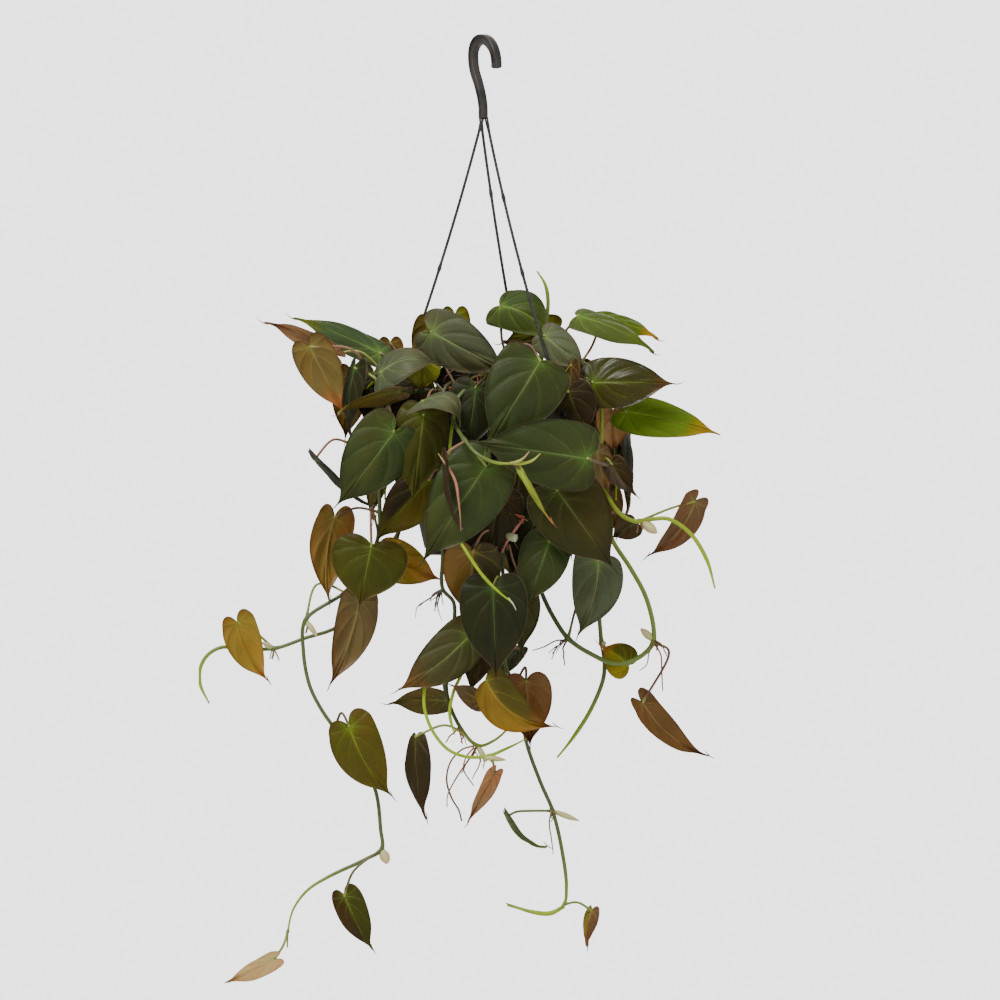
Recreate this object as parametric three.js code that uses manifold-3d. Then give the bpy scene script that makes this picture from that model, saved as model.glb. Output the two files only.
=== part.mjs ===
// A micans philodendron in its hanging pot: a hook, three strands, a round pot, its soil and the
// trailing vines. Millimetres, +Z up. The origin is the point of the hook that bears on its nail.
//
// Places are read off a front drawing of the plant, as [column, row, depth]: columns run to the
// right, rows run down and depth runs away from the viewer, all in steps of the same length.
// The pot's rim is POT_STEPS steps across, which sets the length of a step.

import * as THREE from 'three';
import { mergeVertices } from 'three/addons/utils/BufferGeometryUtils.js';
import Module from 'manifold-3d';

const wasm = await Module();
wasm.setup();

// Driving dimensions, in millimetres
const POT_DIAMETER = 170;
const POT_STEPS = 206;
const STEP = POT_DIAMETER / POT_STEPS;
const GAP = 0.3;
// Joining smooths out edges shorter than a sliver, and drops bits under a speck's volume
const SLIVER = 0.1;
const SPECK = 1;
const BLADE_THICKNESS = 0.8;
const STEM_RADIUS = 1.55;
const BRANCH_RADIUS = 1.35;
const PETIOLE_RADIUS = 0.95;
const STRAND_RADIUS = 1.0;

// Where the hook and the pot stand on the front drawing
const HOOK = { column: 482, row: 45 };
const POT = {
  column: 494,
  rimRow: 410,
  lipRow: 420,
  baseRow: 555,
  rimRadius: 103,
  neckRadius: 99,
  baseRadius: 68,
  wall: 2.4,
};

// A place on the front drawing as a point of the part
function at([column, row, depth]) {
  return new THREE.Vector3((column - HOOK.column) * STEP, depth * STEP, (HOOK.row - row) * STEP);
}

// A place given round the pot's axis; azimuth 0 is to the right and 90 is at the back
function around(azimuth, radius, row) {
  const angle = THREE.MathUtils.degToRad(azimuth);
  return [POT.column + radius * Math.cos(angle), row, radius * Math.sin(angle)];
}

// Solids and meshes
function solidFromArrays(points, triangles) {
  const vertProperties = new Float32Array(points.flatMap((point) => [point.x, point.y, point.z]));
  const triVerts = new Uint32Array(triangles.flat());
  return new wasm.Manifold(new wasm.Mesh({ numProp: 3, vertProperties, triVerts }));
}

function solidFromGeometry(source) {
  const geometry = source.clone();
  geometry.deleteAttribute('normal');
  geometry.deleteAttribute('uv');
  const merged = mergeVertices(geometry, 1e-4);
  return new wasm.Manifold(
    new wasm.Mesh({
      numProp: 3,
      vertProperties: new Float32Array(merged.attributes.position.array),
      triVerts: new Uint32Array(merged.index.array),
    }),
  );
}

// Joins solids, leaving out slivers and specks of no size
function union(solids) {
  const pieces = wasm.Manifold.union(solids).simplify(SLIVER).decompose();
  return wasm.Manifold.compose(pieces.filter((piece) => piece.volume() > SPECK));
}

function meshFromSolid(name, solid, material) {
  const { vertProperties, triVerts } = solid.getMesh();
  const geometry = new THREE.BufferGeometry();
  geometry.setAttribute('position', new THREE.BufferAttribute(new Float32Array(vertProperties), 3));
  geometry.setIndex(new THREE.BufferAttribute(new Uint32Array(triVerts), 1));
  geometry.computeVertexNormals();
  const mesh = new THREE.Mesh(geometry, material);
  mesh.name = name;
  return mesh;
}

// A closed rod of the given sides along a row of points, with a radius at each point
function rod(points, radii, sides) {
  const vertices = [];
  const triangles = [];
  const tangents = points.map((point, index) => {
    const before = points[Math.max(index - 1, 0)];
    const after = points[Math.min(index + 1, points.length - 1)];
    return after.clone().sub(before).normalize();
  });
  const steady = Math.abs(tangents[0].z) < 0.9 ? new THREE.Vector3(0, 0, 1) : new THREE.Vector3(0, 1, 0);
  const across = steady.clone().cross(tangents[0]).normalize();
  points.forEach((point, index) => {
    across.addScaledVector(tangents[index], -across.dot(tangents[index])).normalize();
    const other = tangents[index].clone().cross(across);
    for (let side = 0; side < sides; side += 1) {
      const angle = (2 * Math.PI * side) / sides;
      const offset = across.clone().multiplyScalar(Math.cos(angle) * radii[index]);
      offset.addScaledVector(other, Math.sin(angle) * radii[index]);
      vertices.push(point.clone().add(offset));
    }
  });
  for (let ring = 0; ring + 1 < points.length; ring += 1) {
    for (let side = 0; side < sides; side += 1) {
      const a = ring * sides + side;
      const b = ring * sides + ((side + 1) % sides);
      triangles.push([a, b, b + sides], [a, b + sides, a + sides]);
    }
  }
  const last = (points.length - 1) * sides;
  for (let side = 1; side + 1 < sides; side += 1) {
    triangles.push([0, side + 1, side], [last, last + side, last + side + 1]);
  }
  return solidFromArrays(vertices, triangles);
}

function cylinderBetween(start, end, radius, sides) {
  return rod([start, end], [radius, radius], sides);
}

// Hook: a moulded bar with a groove in both flat sides, bent in a plane that is turned
// about the vertical. Its centre line is [distance from the hook's axis in that plane, row].
const HOOK_TURN = THREE.MathUtils.degToRad(-52);
const HOOK_DEPTH = 8.5 * STEP;
const HOOK_LINE = [
  [23.5, 69], [23, 60], [20, 51], [13, 43.2], [4, 39.3], [-4, 39.8], [-10, 43.6],
  [-13.6, 50], [-14.3, 58], [-12, 70], [-5.4, 84], [-0.5, 97], [1.6, 107], [2, 118],
];
const HOOK_HALF_WIDTH = 3.9;
const HOOK_CROWN_EXTRA = 1.1;
const HOOK_CROWN_ROW = 52;
const HOOK_TOP_ROW = 39;
const GROOVE_START = 0.03;
const GROOVE_SHARE = 0.87;
const GROOVE_RIM = 1.5;
const GROOVE_DEPTH = 2.1 * STEP;
const HOOK_POINTS = 12;

function hookOutline(inset) {
  const line = new THREE.CatmullRomCurve3(
    HOOK_LINE.map(([along, row]) => new THREE.Vector3(along, HOOK.row - row, 0)),
    false,
    'centripetal',
  );
  const left = [];
  const right = [];
  for (let index = 0; index <= HOOK_POINTS; index += 1) {
    const step = index / HOOK_POINTS;
    const share = inset > 0 ? GROOVE_START + GROOVE_SHARE * step : step;
    const middle = line.getPointAt(share);
    const tangent = line.getTangentAt(share);
    const crown = Math.max(0, (middle.y - HOOK.row + HOOK_CROWN_ROW) / (HOOK_CROWN_ROW - HOOK_TOP_ROW));
    const half = HOOK_HALF_WIDTH + HOOK_CROWN_EXTRA * Math.min(crown, 1) - inset;
    left.push(new THREE.Vector2(middle.x - tangent.y * half, middle.y + tangent.x * half));
    right.push(new THREE.Vector2(middle.x + tangent.y * half, middle.y - tangent.x * half));
  }
  return new THREE.Shape([...left, ...right.reverse()].map((point) => point.multiplyScalar(STEP)));
}

function hookSlab(inset, from, depth) {
  const geometry = new THREE.ExtrudeGeometry(hookOutline(inset), { depth, bevelEnabled: false });
  geometry.translate(0, 0, from);
  geometry.rotateX(Math.PI / 2);
  geometry.rotateZ(HOOK_TURN);
  return solidFromGeometry(geometry);
}

function makeHook() {
  const bar = hookSlab(0, -HOOK_DEPTH / 2, HOOK_DEPTH);
  const frontGroove = hookSlab(GROOVE_RIM, HOOK_DEPTH / 2 - GROOVE_DEPTH, GROOVE_DEPTH * 2);
  const backGroove = hookSlab(GROOVE_RIM, -HOOK_DEPTH / 2 - GROOVE_DEPTH, GROOVE_DEPTH * 2);
  return bar.subtract(frontGroove).subtract(backGroove).simplify(SLIVER);
}

// Strands: from the hook's foot down through a lug on the pot's rim, to a button under it
const FOOT_ROW = 118;
const STRAND_TOP_GAP = 0.6;
const STRAND_SIDES = 6;
const STRAND_PARTS = 4;
const LUG_RADIUS = 107;
// Each strand bows in towards the pot's axis by its bow, in steps, at the middle of its length
const STRANDS = [
  { name: 'strand_left', azimuth: 192, top: [482.6, -3], bow: 4.5 },
  { name: 'strand_back', azimuth: 70.5, top: [480.6, 2.6], bow: 8.5 },
  { name: 'strand_right', azimuth: 311, top: [486.2, -0.6], bow: 7.5 },
];
const LUG = { width: 11, height: 6, row: 414, inner: 99, outer: 113 };
const BUTTON = { radius: 2.2, height: 1.8, seat: 0.5, sides: 8 };
// A slanting button's rim rises by this much over its middle
const BUTTON_TILT = 1.6;

function strandLine({ azimuth, top, bow }) {
  const start = at([top[0], FOOT_ROW, top[1]]);
  start.z -= STRAND_TOP_GAP;
  const end = at(around(azimuth, LUG_RADIUS, LUG.row));
  const inward = at([POT.column, LUG.row, 0]).sub(end).setLength(bow * STEP);
  const points = Array.from({ length: STRAND_PARTS + 1 }, (_, index) => {
    const share = index / STRAND_PARTS;
    return start.clone().lerp(end, share).addScaledVector(inward, 4 * share * (1 - share));
  });
  return { points, end, direction: end.clone().sub(points[STRAND_PARTS - 1]).normalize() };
}

function makeStrand(strand) {
  const { points, end, direction } = strandLine(strand);
  const under = (LUG.height / 2) * STEP + GAP + BUTTON_TILT;
  const buttonTop = end.clone().addScaledVector(direction, under);
  const buttonEnd = buttonTop.clone().addScaledVector(direction, BUTTON.height);
  const line = [...points.slice(0, -1), buttonTop.clone().addScaledVector(direction, BUTTON.seat)];
  const wire = rod(line, line.map(() => STRAND_RADIUS), STRAND_SIDES);
  const button = cylinderBetween(buttonTop, buttonEnd, BUTTON.radius, BUTTON.sides);
  return union([wire, button]);
}

// Pot: a turned shell with a stepped rim, three lugs and drain holes in its flat floor
const POT_SIDES = 20;
const FLOOR = 2.4;
const INNER_LIP_ROW = 424;
const DRAIN = { count: 6, radius: 4, ring: 36 };
const CUT_REACH = 8;
const HOLE_SIDES = 8;
const LUG_HOLE_CLEAR = 0.5;

function lathe(profile) {
  const points = profile.map(([radius, row]) => new THREE.Vector2(radius * STEP, (HOOK.row - row) * STEP));
  const geometry = new THREE.LatheGeometry(points, POT_SIDES);
  geometry.rotateX(Math.PI / 2);
  geometry.translate((POT.column - HOOK.column) * STEP, 0, 0);
  return solidFromGeometry(geometry);
}

function makeLug(azimuth) {
  const length = (LUG.outer - LUG.inner) * STEP;
  const geometry = new THREE.BoxGeometry(length, LUG.width * STEP, LUG.height * STEP);
  geometry.rotateZ(THREE.MathUtils.degToRad(azimuth));
  const middle = at(around(azimuth, (LUG.inner + LUG.outer) / 2, LUG.row));
  geometry.translate(middle.x, middle.y, middle.z);
  return solidFromGeometry(geometry);
}

function makePot() {
  const { rimRow, lipRow, baseRow, rimRadius, neckRadius, baseRadius, wall } = POT;
  const shell = lathe([
    [0, baseRow], [baseRadius, baseRow], [neckRadius, lipRow], [rimRadius, lipRow],
    [rimRadius, rimRow], [rimRadius - wall, rimRow], [neckRadius - wall, INNER_LIP_ROW],
    [baseRadius - wall, baseRow - FLOOR], [0, baseRow - FLOOR],
  ]);
  const lugs = STRANDS.map(({ azimuth }) => makeLug(azimuth));
  const cuts = STRANDS.map((strand) => {
    const { end, direction } = strandLine(strand);
    const above = end.clone().addScaledVector(direction, -CUT_REACH);
    const below = end.clone().addScaledVector(direction, CUT_REACH);
    return cylinderBetween(above, below, STRAND_RADIUS + LUG_HOLE_CLEAR, HOLE_SIDES);
  });
  for (let hole = 0; hole < DRAIN.count; hole += 1) {
    const place = around((360 * hole) / DRAIN.count, DRAIN.ring, baseRow);
    const low = at(place).add(new THREE.Vector3(0, 0, -CUT_REACH));
    const high = at(place).add(new THREE.Vector3(0, 0, CUT_REACH));
    cuts.push(cylinderBetween(low, high, DRAIN.radius, HOLE_SIDES));
  }
  return union([shell, ...lugs]).subtract(union(cuts));
}

// Soil: it fills the pot, with a low mound, and has a plain hole for every stem
const SOIL = { edgeRow: 420, moundRow: 411, moundRadius: 50, shoulder: 6, clear: 0.66 };
const STEM_HOLE = { row: 449, topRow: 399, radius: 2.6, sides: 4 };

function makeSoil(vines) {
  const { baseRow, neckRadius, baseRadius, wall } = POT;
  const innerAt = (row) => {
    const share = (row - INNER_LIP_ROW) / (baseRow - FLOOR - INNER_LIP_ROW);
    return neckRadius - wall - SOIL.clear + (baseRadius - neckRadius) * share;
  };
  const lowRow = baseRow - FLOOR - SOIL.clear;
  const topRadius = innerAt(INNER_LIP_ROW);
  const body = lathe([
    [0, lowRow], [innerAt(lowRow), lowRow], [topRadius, INNER_LIP_ROW],
    [topRadius - SOIL.shoulder, SOIL.edgeRow], [SOIL.moundRadius, SOIL.moundRow], [0, SOIL.moundRow],
  ]);
  const holes = vines.map(({ soil }) => {
    const low = at([soil[0], STEM_HOLE.row, soil[1]]);
    const high = at([soil[0], STEM_HOLE.topRow, soil[1]]);
    return cylinderBetween(low, high, STEM_HOLE.radius, STEM_HOLE.sides);
  });
  return body.subtract(union(holes));
}

// Leaf blade: half of its outline as [across, along], in half widths and lengths from the
// petiole's joint, then the points of its midrib
const HALF_OUTLINE = [
  [0.24, -0.11], [0.62, -0.135], [0.96, 0.06], [0.96, 0.34], [0.62, 0.66], [0.15, 0.86],
];
const MIDRIB = [[0, 0], [0, 0.25], [0, 0.6], [0, 1]];
// Corners of half a blade: 0 to 3 midrib, 4 to 9 outline
const HALF_FACES = [[0, 4, 5], [0, 5, 1], [1, 5, 6], [1, 6, 7], [1, 7, 2], [2, 7, 8], [2, 8, 9], [2, 9, 3]];
const RIM_ORDER = [0, 4, 5, 6, 7, 8, 9, 3];
const VIEWER_AZIMUTH = -90;
const USUAL_ARCH = 0.05;
const USUAL_CUP = -0.12;
const FOLD = 0.1;
const FOLD_POWER = 0.8;
// Where along the blade it has its full width again, past a narrow shoulder
const SHOULDER_SPAN = [-0.15, 0.4];

// Height of the blade over its chord, towards the upper face. Both halves slope down from the
// midrib, most of all near the petiole's joint.
function bladeHeight(across, along, { arch, cup }, length, half) {
  const span = THREE.MathUtils.clamp(along, -0.2, 1);
  const fold = FOLD * (Math.abs(across) * (1 - span)) ** FOLD_POWER;
  return length * arch * 4 * span * (1 - span) + half * (cup * Math.abs(across) ** 1.5 - fold);
}

function bladeFrame({ joint, tip, turn = 0, facing }) {
  const start = at(joint);
  const along = at(tip).sub(start);
  const length = along.length();
  along.normalize();
  const azimuth = facing === undefined ? VIEWER_AZIMUTH : facing;
  const upper = at(around(azimuth, 1, HOOK.row)).sub(at([POT.column, HOOK.row, 0]));
  upper.addScaledVector(along, -upper.dot(along)).normalize();
  upper.applyAxisAngle(along, THREE.MathUtils.degToRad(turn));
  const side = along.clone().cross(upper).normalize();
  return { start, along, upper, side, length };
}

// The point of a leaf's blade at [across, along], lifted off its middle surface. The midrib
// bows sideways by the leaf's sway, a share of its length. The lobes beside the joint reach
// back by the leaf's own share of their usual length, and the blade narrows towards them to
// its shoulder, a share of the usual width.
function bladePoint(leaf, [u, v], lift) {
  const { start, along, upper, side, length } = bladeFrame(leaf);
  const half = (leaf.width * STEP) / 2;
  const bend = { arch: leaf.arch ?? USUAL_ARCH, cup: leaf.cup ?? USUAL_CUP };
  const bow = length * (leaf.sway ?? 0) * 4 * Math.max(v, 0) * (1 - v);
  const reach = v < 0 ? v * (leaf.lobes ?? 1) : v;
  const shoulder = leaf.shoulder ?? 1;
  const width = half * THREE.MathUtils.lerp(shoulder, 1, THREE.MathUtils.smoothstep(v, ...SHOULDER_SPAN));
  const point = start.clone().addScaledVector(along, reach * length).addScaledVector(side, u * width + bow);
  return point.addScaledVector(upper, bladeHeight(u, v, bend, length, half) + lift);
}

function makeBlade(leaf) {
  const flat = [...MIDRIB, ...HALF_OUTLINE, ...HALF_OUTLINE.map(([u, v]) => [-u, v])];
  const place = (uv, lift) => bladePoint(leaf, uv, lift);
  const points = [
    ...flat.map((uv) => place(uv, BLADE_THICKNESS / 2)),
    ...flat.map((uv) => place(uv, -BLADE_THICKNESS / 2)),
  ];
  const mirror = (index) => (index < MIDRIB.length ? index : index + HALF_OUTLINE.length);
  const count = flat.length;
  const triangles = [];
  for (const [a, b, c] of HALF_FACES) {
    const [d, e, f] = [mirror(a), mirror(b), mirror(c)];
    triangles.push([a, b, c], [d, f, e]);
    triangles.push([a + count, c + count, b + count], [d + count, e + count, f + count]);
  }
  for (let index = 0; index + 1 < RIM_ORDER.length; index += 1) {
    const [a, b] = [RIM_ORDER[index], RIM_ORDER[index + 1]];
    const [c, d] = [mirror(a), mirror(b)];
    triangles.push([a, a + count, b + count], [a, b + count, b]);
    triangles.push([c, d + count, c + count], [c, d, d + count]);
  }
  return solidFromArrays(points, triangles);
}

// Stems, petioles and sheaths
const FINE_STEP = 4;
const STEM_SLACK = 1.7;
const PETIOLE_SLACK = 1.8;
const PETIOLE_SEAT = 1.5;
const PETIOLE_TIP = 0.33;
const STEM_SIDES = 4;
const PETIOLE_SIDES = 3;
const TIP_SHARE = 0.82;
const TIP_LOSS = 0.65;
const PETIOLE_RISE = 0.2;
const SHEATH = { foot: 1.5, belly: 1.7, tip: 0.4, bellyShare: 0.45, rise: 0.8, sides: 3 };
const STEM_CHOICES = 8;
const STEM_FOOT_ROW = 446;
const STEM_RISE_ROW = 405;

// The fewest points of a fine line that keep within the slack of it
function thinned(points, slack) {
  const [first, last] = [points[0], points[points.length - 1]];
  const chord = new THREE.Line3(first, last);
  const nearest = new THREE.Vector3();
  let farthest = 0;
  let split = 0;
  points.forEach((point, index) => {
    const far = chord.closestPointToPoint(point, true, nearest).distanceTo(point);
    if (far > farthest) {
      farthest = far;
      split = index;
    }
  });
  if (farthest <= slack) return [first, last];
  const before = thinned(points.slice(0, split + 1), slack);
  return [...before, ...thinned(points.slice(split), slack).slice(1)];
}

// A smooth line through the given points
function smoothLine(points, slack) {
  const curve = new THREE.CatmullRomCurve3(points, false, 'centripetal');
  return thinned(curve.getSpacedPoints(Math.max(4, Math.ceil(curve.getLength() / FINE_STEP))), slack);
}

function makeStem(points, radius) {
  const radii = points.map((_, index) => {
    const share = index / (points.length - 1);
    return radius * (1 - (TIP_LOSS * Math.max(0, share - TIP_SHARE)) / (1 - TIP_SHARE));
  });
  return rod(points, radii, STEM_SIDES);
}

// The point of a vine's stems that is nearest to a place on the drawing, in the front view
// if the place has no depth
function nearestOn(stems, [column, row, depth]) {
  const wanted = at([column, row, depth ?? 0]);
  let best = null;
  let bestFar = Infinity;
  for (const points of stems) {
    for (let index = 0; index + 1 < points.length; index += 1) {
      for (let part = 0; part <= STEM_CHOICES; part += 1) {
        const point = points[index].clone().lerp(points[index + 1], part / STEM_CHOICES);
        const deep = depth === undefined ? 0 : point.y - wanted.y;
        const far = Math.hypot(point.x - wanted.x, deep, point.z - wanted.z);
        if (far < bestFar) {
          best = point;
          bestFar = far;
        }
      }
    }
  }
  return best;
}

// A petiole runs from its stem to the blade's joint, where it has tapered to less than the
// blade's thickness, and ends a little way into the midrib
function makePetiole(start, leaf) {
  const joint = bladePoint(leaf, MIDRIB[0], 0);
  const inwards = bladePoint(leaf, MIDRIB[1], 0).sub(joint).setLength(PETIOLE_SEAT);
  const middle = start.clone().lerp(joint, 0.5);
  middle.z += PETIOLE_RISE * start.distanceTo(joint);
  const bends = leaf.via ? leaf.via.map(at) : [middle];
  const points = [...smoothLine([start, ...bends, joint], PETIOLE_SLACK), joint.clone().add(inwards)];
  const radii = points.map((_, index) => (index + 2 < points.length ? PETIOLE_RADIUS : PETIOLE_TIP));
  return rod(points, radii, PETIOLE_SIDES);
}

function makeSheath(start, tip) {
  const end = at(tip);
  const middle = start.clone().lerp(end, SHEATH.bellyShare);
  middle.z += SHEATH.rise;
  return rod([start, middle, end], [SHEATH.foot, SHEATH.belly, SHEATH.tip], SHEATH.sides);
}

function makeVine({ soil, route, leaves = [], branches = [], sheaths = [] }) {
  const standing = [[soil[0], STEM_RISE_ROW, soil[1]], [soil[0], STEM_HOLE.topRow, soil[1]]];
  const main = smoothLine([...standing, ...route].map(at), STEM_SLACK);
  main.unshift(at([soil[0], STEM_FOOT_ROW, soil[1]]));
  const stems = [main, ...branches.map((branch) => smoothLine(branch.map(at), STEM_SLACK))];
  for (const branch of stems.slice(1)) {
    branch.unshift(nearestOn([main], [HOOK.column + branch[0].x / STEP, HOOK.row - branch[0].z / STEP]));
  }
  const solids = stems.map((points, index) => makeStem(points, index === 0 ? STEM_RADIUS : BRANCH_RADIUS));
  for (const leaf of leaves) {
    solids.push(makePetiole(nearestOn(stems, leaf.from), leaf), makeBlade(leaf));
  }
  for (const { from, tip } of sheaths) {
    solids.push(makeSheath(nearestOn(stems, from), tip));
  }
  return union(solids);
}

// The vines that the front drawing shows, from the left to the right
const FRONT_VINES = [
  {
    name: 'vine_left_long',
    soil: [426, -24],
    route: [
      [418, 390, -27], [402, 388, -30], [387, 402, -38], [383, 418, -44], [381, 455, -46], [380, 490, -46],
      [380, 512, -46], [379, 535, -46], [366, 566, -46], [345, 592, -48], [306, 620, -50], [304, 650, -50],
      [310, 684, -50], [321, 707, -50], [334, 726, -50], [360, 758, -50], [376, 790, -50],
      [381, 828, -50], [382, 848, -50],
      [366, 858, -50], [330, 875, -50], [308, 889, -52], [294, 908, -52], [289, 928, -52], [288, 946, -52],
    ],
    leaves: [
      {
        from: [380, 512], joint: [335, 517, -52], tip: [329, 602, -60], width: 45, turn: 155, sway: -0.04,
        via: [[357, 508, -48]],
      },
      {
        from: [379, 535], joint: [372, 546, -82], tip: [360, 606, -76], width: 77, turn: 5,
        via: [[372, 508, -62]],
      },
      {
        from: [306, 618], joint: [360, 599, -62], tip: [329, 686, -62], width: 42, turn: 170, sway: 0.06,
        via: [[318, 584, -42]],
      },
      {
        from: [335, 728], joint: [350, 725, -66], tip: [393, 796, -64], width: 52, turn: 5, sway: 0.06,
        via: [[342, 712, -58]],
      },
      {
        from: [382, 848], joint: [345, 894, -60], tip: [373, 949, -56], width: 34, turn: 20,
        via: [[354, 870, -60]],
      },
      {
        from: [290, 928], joint: [275, 957, -54], tip: [225, 981, -54], width: 23, turn: 150, sway: 0.06,
        via: [[284, 944, -58]],
      },
    ],
    sheaths: [
      { from: [306, 620], tip: [318, 636, -56] },
      { from: [382, 848], tip: [390, 866, -58] },
    ],
  },
  {
    name: 'vine_left_reach',
    soil: [440, 14],
    route: [
      [424, 388, 14], [404, 380, 12], [387, 396, 6], [384, 420, 2], [392, 455, -4], [398, 490, -10],
      [399, 530, -16], [384, 570, -22], [360, 605, -28], [337, 627, -32], [305, 638, -34], [275, 648, -36],
      [240, 648, -36], [222, 647, -36], [208, 655, -36], [201, 668, -36], [201, 684, -36], [210, 703, -36],
    ],
    leaves: [
      { from: [404, 380], joint: [390, 342, 30], tip: [391, 384, 30], width: 27, turn: 180 },
      {
        from: [399, 530], joint: [384, 556, -44], tip: [441, 580, -48], width: 44, turn: 165,
        via: [[392, 542, -30]],
      },
      {
        from: [275, 648], joint: [238, 622, -46], tip: [269, 681, -52], width: 38, turn: 165, sway: -0.06,
        via: [[256, 632, -38]],
      },
    ],
    sheaths: [{ from: [275, 648], tip: [263, 642, -44] }],
  },
  {
    name: 'vine_left_near',
    soil: [446, -44],
    route: [
      [436, 392, -50], [414, 392, -58], [396, 396, -64], [386, 412, -66], [372, 430, -62], [358, 437, -60],
      [350, 446, -58], [349, 460, -56],
    ],
    leaves: [
      {
        from: [386, 412], joint: [395, 432, -116], tip: [337, 507, -104], width: 66, turn: -8,
        via: [[390, 408, -95]],
      },
      {
        from: [350, 442], joint: [315, 460, -70], tip: [374, 508, -70], width: 34, turn: 82,
        via: [[334, 440, -64]],
      },
      {
        from: [396, 396], joint: [355, 368, -30], tip: [350, 438, -30], width: 42, turn: 62,
        via: [[372, 376, -46]],
      },
      {
        from: [414, 392], joint: [400, 392, -84], tip: [338, 413, -92], width: 34, turn: 115,
        via: [[412, 388, -72]],
      },
      {
        from: [436, 392], joint: [424, 415, -109], tip: [413, 502, -103], width: 54,
        via: [[430, 394, -92]],
      },
    ],
  },
  {
    name: 'vine_left_crown',
    soil: [452, -8],
    route: [
      [446, 388, -8], [430, 378, -10], [408, 376, -12], [388, 378, -14], [374, 382, -16], [366, 390, -16],
    ],
    leaves: [
      {
        from: [408, 376], joint: [380, 353, 6], tip: [294, 316, 2], width: 36, turn: 38, arch: 0.02,
        via: [[398, 364, -2]],
      },
      {
        from: [374, 382], joint: [310, 347, -36], tip: [344, 414, -36], width: 42, turn: 180,
        via: [[352, 350, -34]],
      },
      {
        from: [388, 378], joint: [335, 354, -10], tip: [265, 321, -12], width: 27, turn: 140,
        via: [[360, 352, -14]],
      },
      {
        from: [366, 390], joint: [352, 374, 0], tip: [345, 441, 0], width: 38, turn: 180,
        via: [[360, 378, -6]],
      },
      {
        from: [430, 378], joint: [381, 373, -66], tip: [440, 364, -74], width: 50, turn: -45, arch: 0.2,
        via: [[402, 376, -44]],
      },
    ],
  },
  {
    name: 'vine_front_left',
    soil: [466, -58],
    route: [
      [458, 390, -78], [449, 385, -90], [443, 396, -98], [441, 420, -98], [441, 470, -92], [442, 520, -88],
      [443, 555, -90], [443, 588, -92], [454, 602, -92], [452, 640, -92], [447, 690, -92], [460, 725, -92],
      [478, 744, -92], [494, 739, -92], [508, 727, -92], [520, 712, -94],
    ],
    branches: [
      [
        [449, 655, -92], [434, 664, -100], [426, 683, -104], [425, 706, -108], [433, 729, -110],
        [449, 748, -110], [468, 755, -110], [488, 754, -110], [508, 746, -110], [526, 737, -110],
      ],
      [[452, 640, -92], [464, 664, -100], [454, 690, -104], [450, 712, -104], [455, 733, -104]],
    ],
    leaves: [
      {
        from: [458, 390], joint: [431, 332, -60], tip: [511, 373, -66], width: 54, turn: 10,
        via: [[441, 358, -50]],
      },
      { from: [441, 470], joint: [430, 480, -74], tip: [376, 541, -64], width: 52, turn: 15 },
      {
        from: [441, 450], joint: [470, 494, -114], tip: [451, 567, -110], width: 46,
        via: [[456, 472, -104]],
      },
      {
        from: [452, 625], joint: [470, 634, -112], tip: [397, 690, -110], width: 50, sway: -0.04,
        via: [[461, 618, -104]],
      },
      {
        from: [450, 668], joint: [447, 699, -80], tip: [389, 702, -76],
        width: 34, turn: 150, lobes: 0.4, shoulder: 0.7,
        via: [[444, 682, -84]],
      },
      {
        from: [478, 745], joint: [416, 735, -92], tip: [425, 818, -92],
        width: 36, turn: 38, lobes: 0.35, shoulder: 0.5,
        via: [[447, 724, -94]],
      },
      {
        from: [488, 751], joint: [494, 771, -112], tip: [467, 820, -112], width: 19, turn: 150, sway: 0.05,
        via: [[493, 760, -112]],
      },
    ],
    sheaths: [
      { from: [478, 745], tip: [487, 760, -98] },
      { from: [482, 755], tip: [506, 758, -112] },
    ],
  },
  {
    name: 'vine_front_shoots',
    soil: [482, -66],
    route: [
      [478, 384, -92], [466, 390, -104], [455, 405, -112], [454, 420, -118], [458, 430, -140],
      [466, 442, -166],
      [478, 455, -182], [495, 463, -186], [510, 464, -188], [521, 463, -188],
    ],
    branches: [
      [
        [455, 412, -114], [451, 440, -128], [450, 480, -131], [450, 510, -128], [455, 530, -135],
        [468, 553, -154], [484, 576, -160], [500, 592, -160], [513, 602, -160],
      ],
    ],
    leaves: [
      {
        from: [456, 402], joint: [423, 402, -131], tip: [461, 428, -137], width: 50, turn: -60, arch: 0.42,
        via: [[440, 404, -114]],
      },
      {
        from: [466, 441], joint: [443, 459, -172], tip: [461, 530, -170], width: 34, turn: 84, sway: 0.05,
        via: [[452, 450, -172]],
      },
      {
        from: [464, 440], joint: [486, 466, -148], tip: [422, 563, -144], width: 74,
        via: [[474, 452, -156]],
      },
      {
        from: [512, 464], joint: [519, 469, -188], tip: [552, 524, -184], width: 9, turn: 20,
        via: [[516, 466, -188]],
      },
    ],
    sheaths: [
      { from: [508, 464], tip: [528, 455, -194] },
      { from: [510, 464], tip: [538, 458, -190] },
    ],
  },
  {
    name: 'vine_front_centre',
    soil: [500, -62],
    route: [
      [500, 388, -86], [501, 384, -100], [502, 396, -108], [503, 430, -109], [503, 480, -106],
      [503, 540, -100],
      [503, 600, -96], [505, 660, -94], [512, 684, -92], [522, 712, -90], [526, 740, -88], [540, 780, -86],
      [552, 808, -86], [561, 845, -86], [566, 885, -86], [563, 903, -86], [545, 911, -86], [525, 908, -86],
      [507, 903, -86],
    ],
    leaves: [
      {
        from: [501, 386], joint: [540, 362, -124], tip: [487, 447, -132], width: 78, lobes: 0.5,
        via: [[508, 354, -108], [528, 346, -116]],
      },
      {
        from: [503, 530], joint: [473, 551, -124], tip: [470, 620, -118], width: 58, turn: 180,
        via: [[484, 532, -116]],
      },
      {
        from: [503, 590], joint: [493, 586, -142], tip: [496, 677, -134], width: 68,
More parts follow.
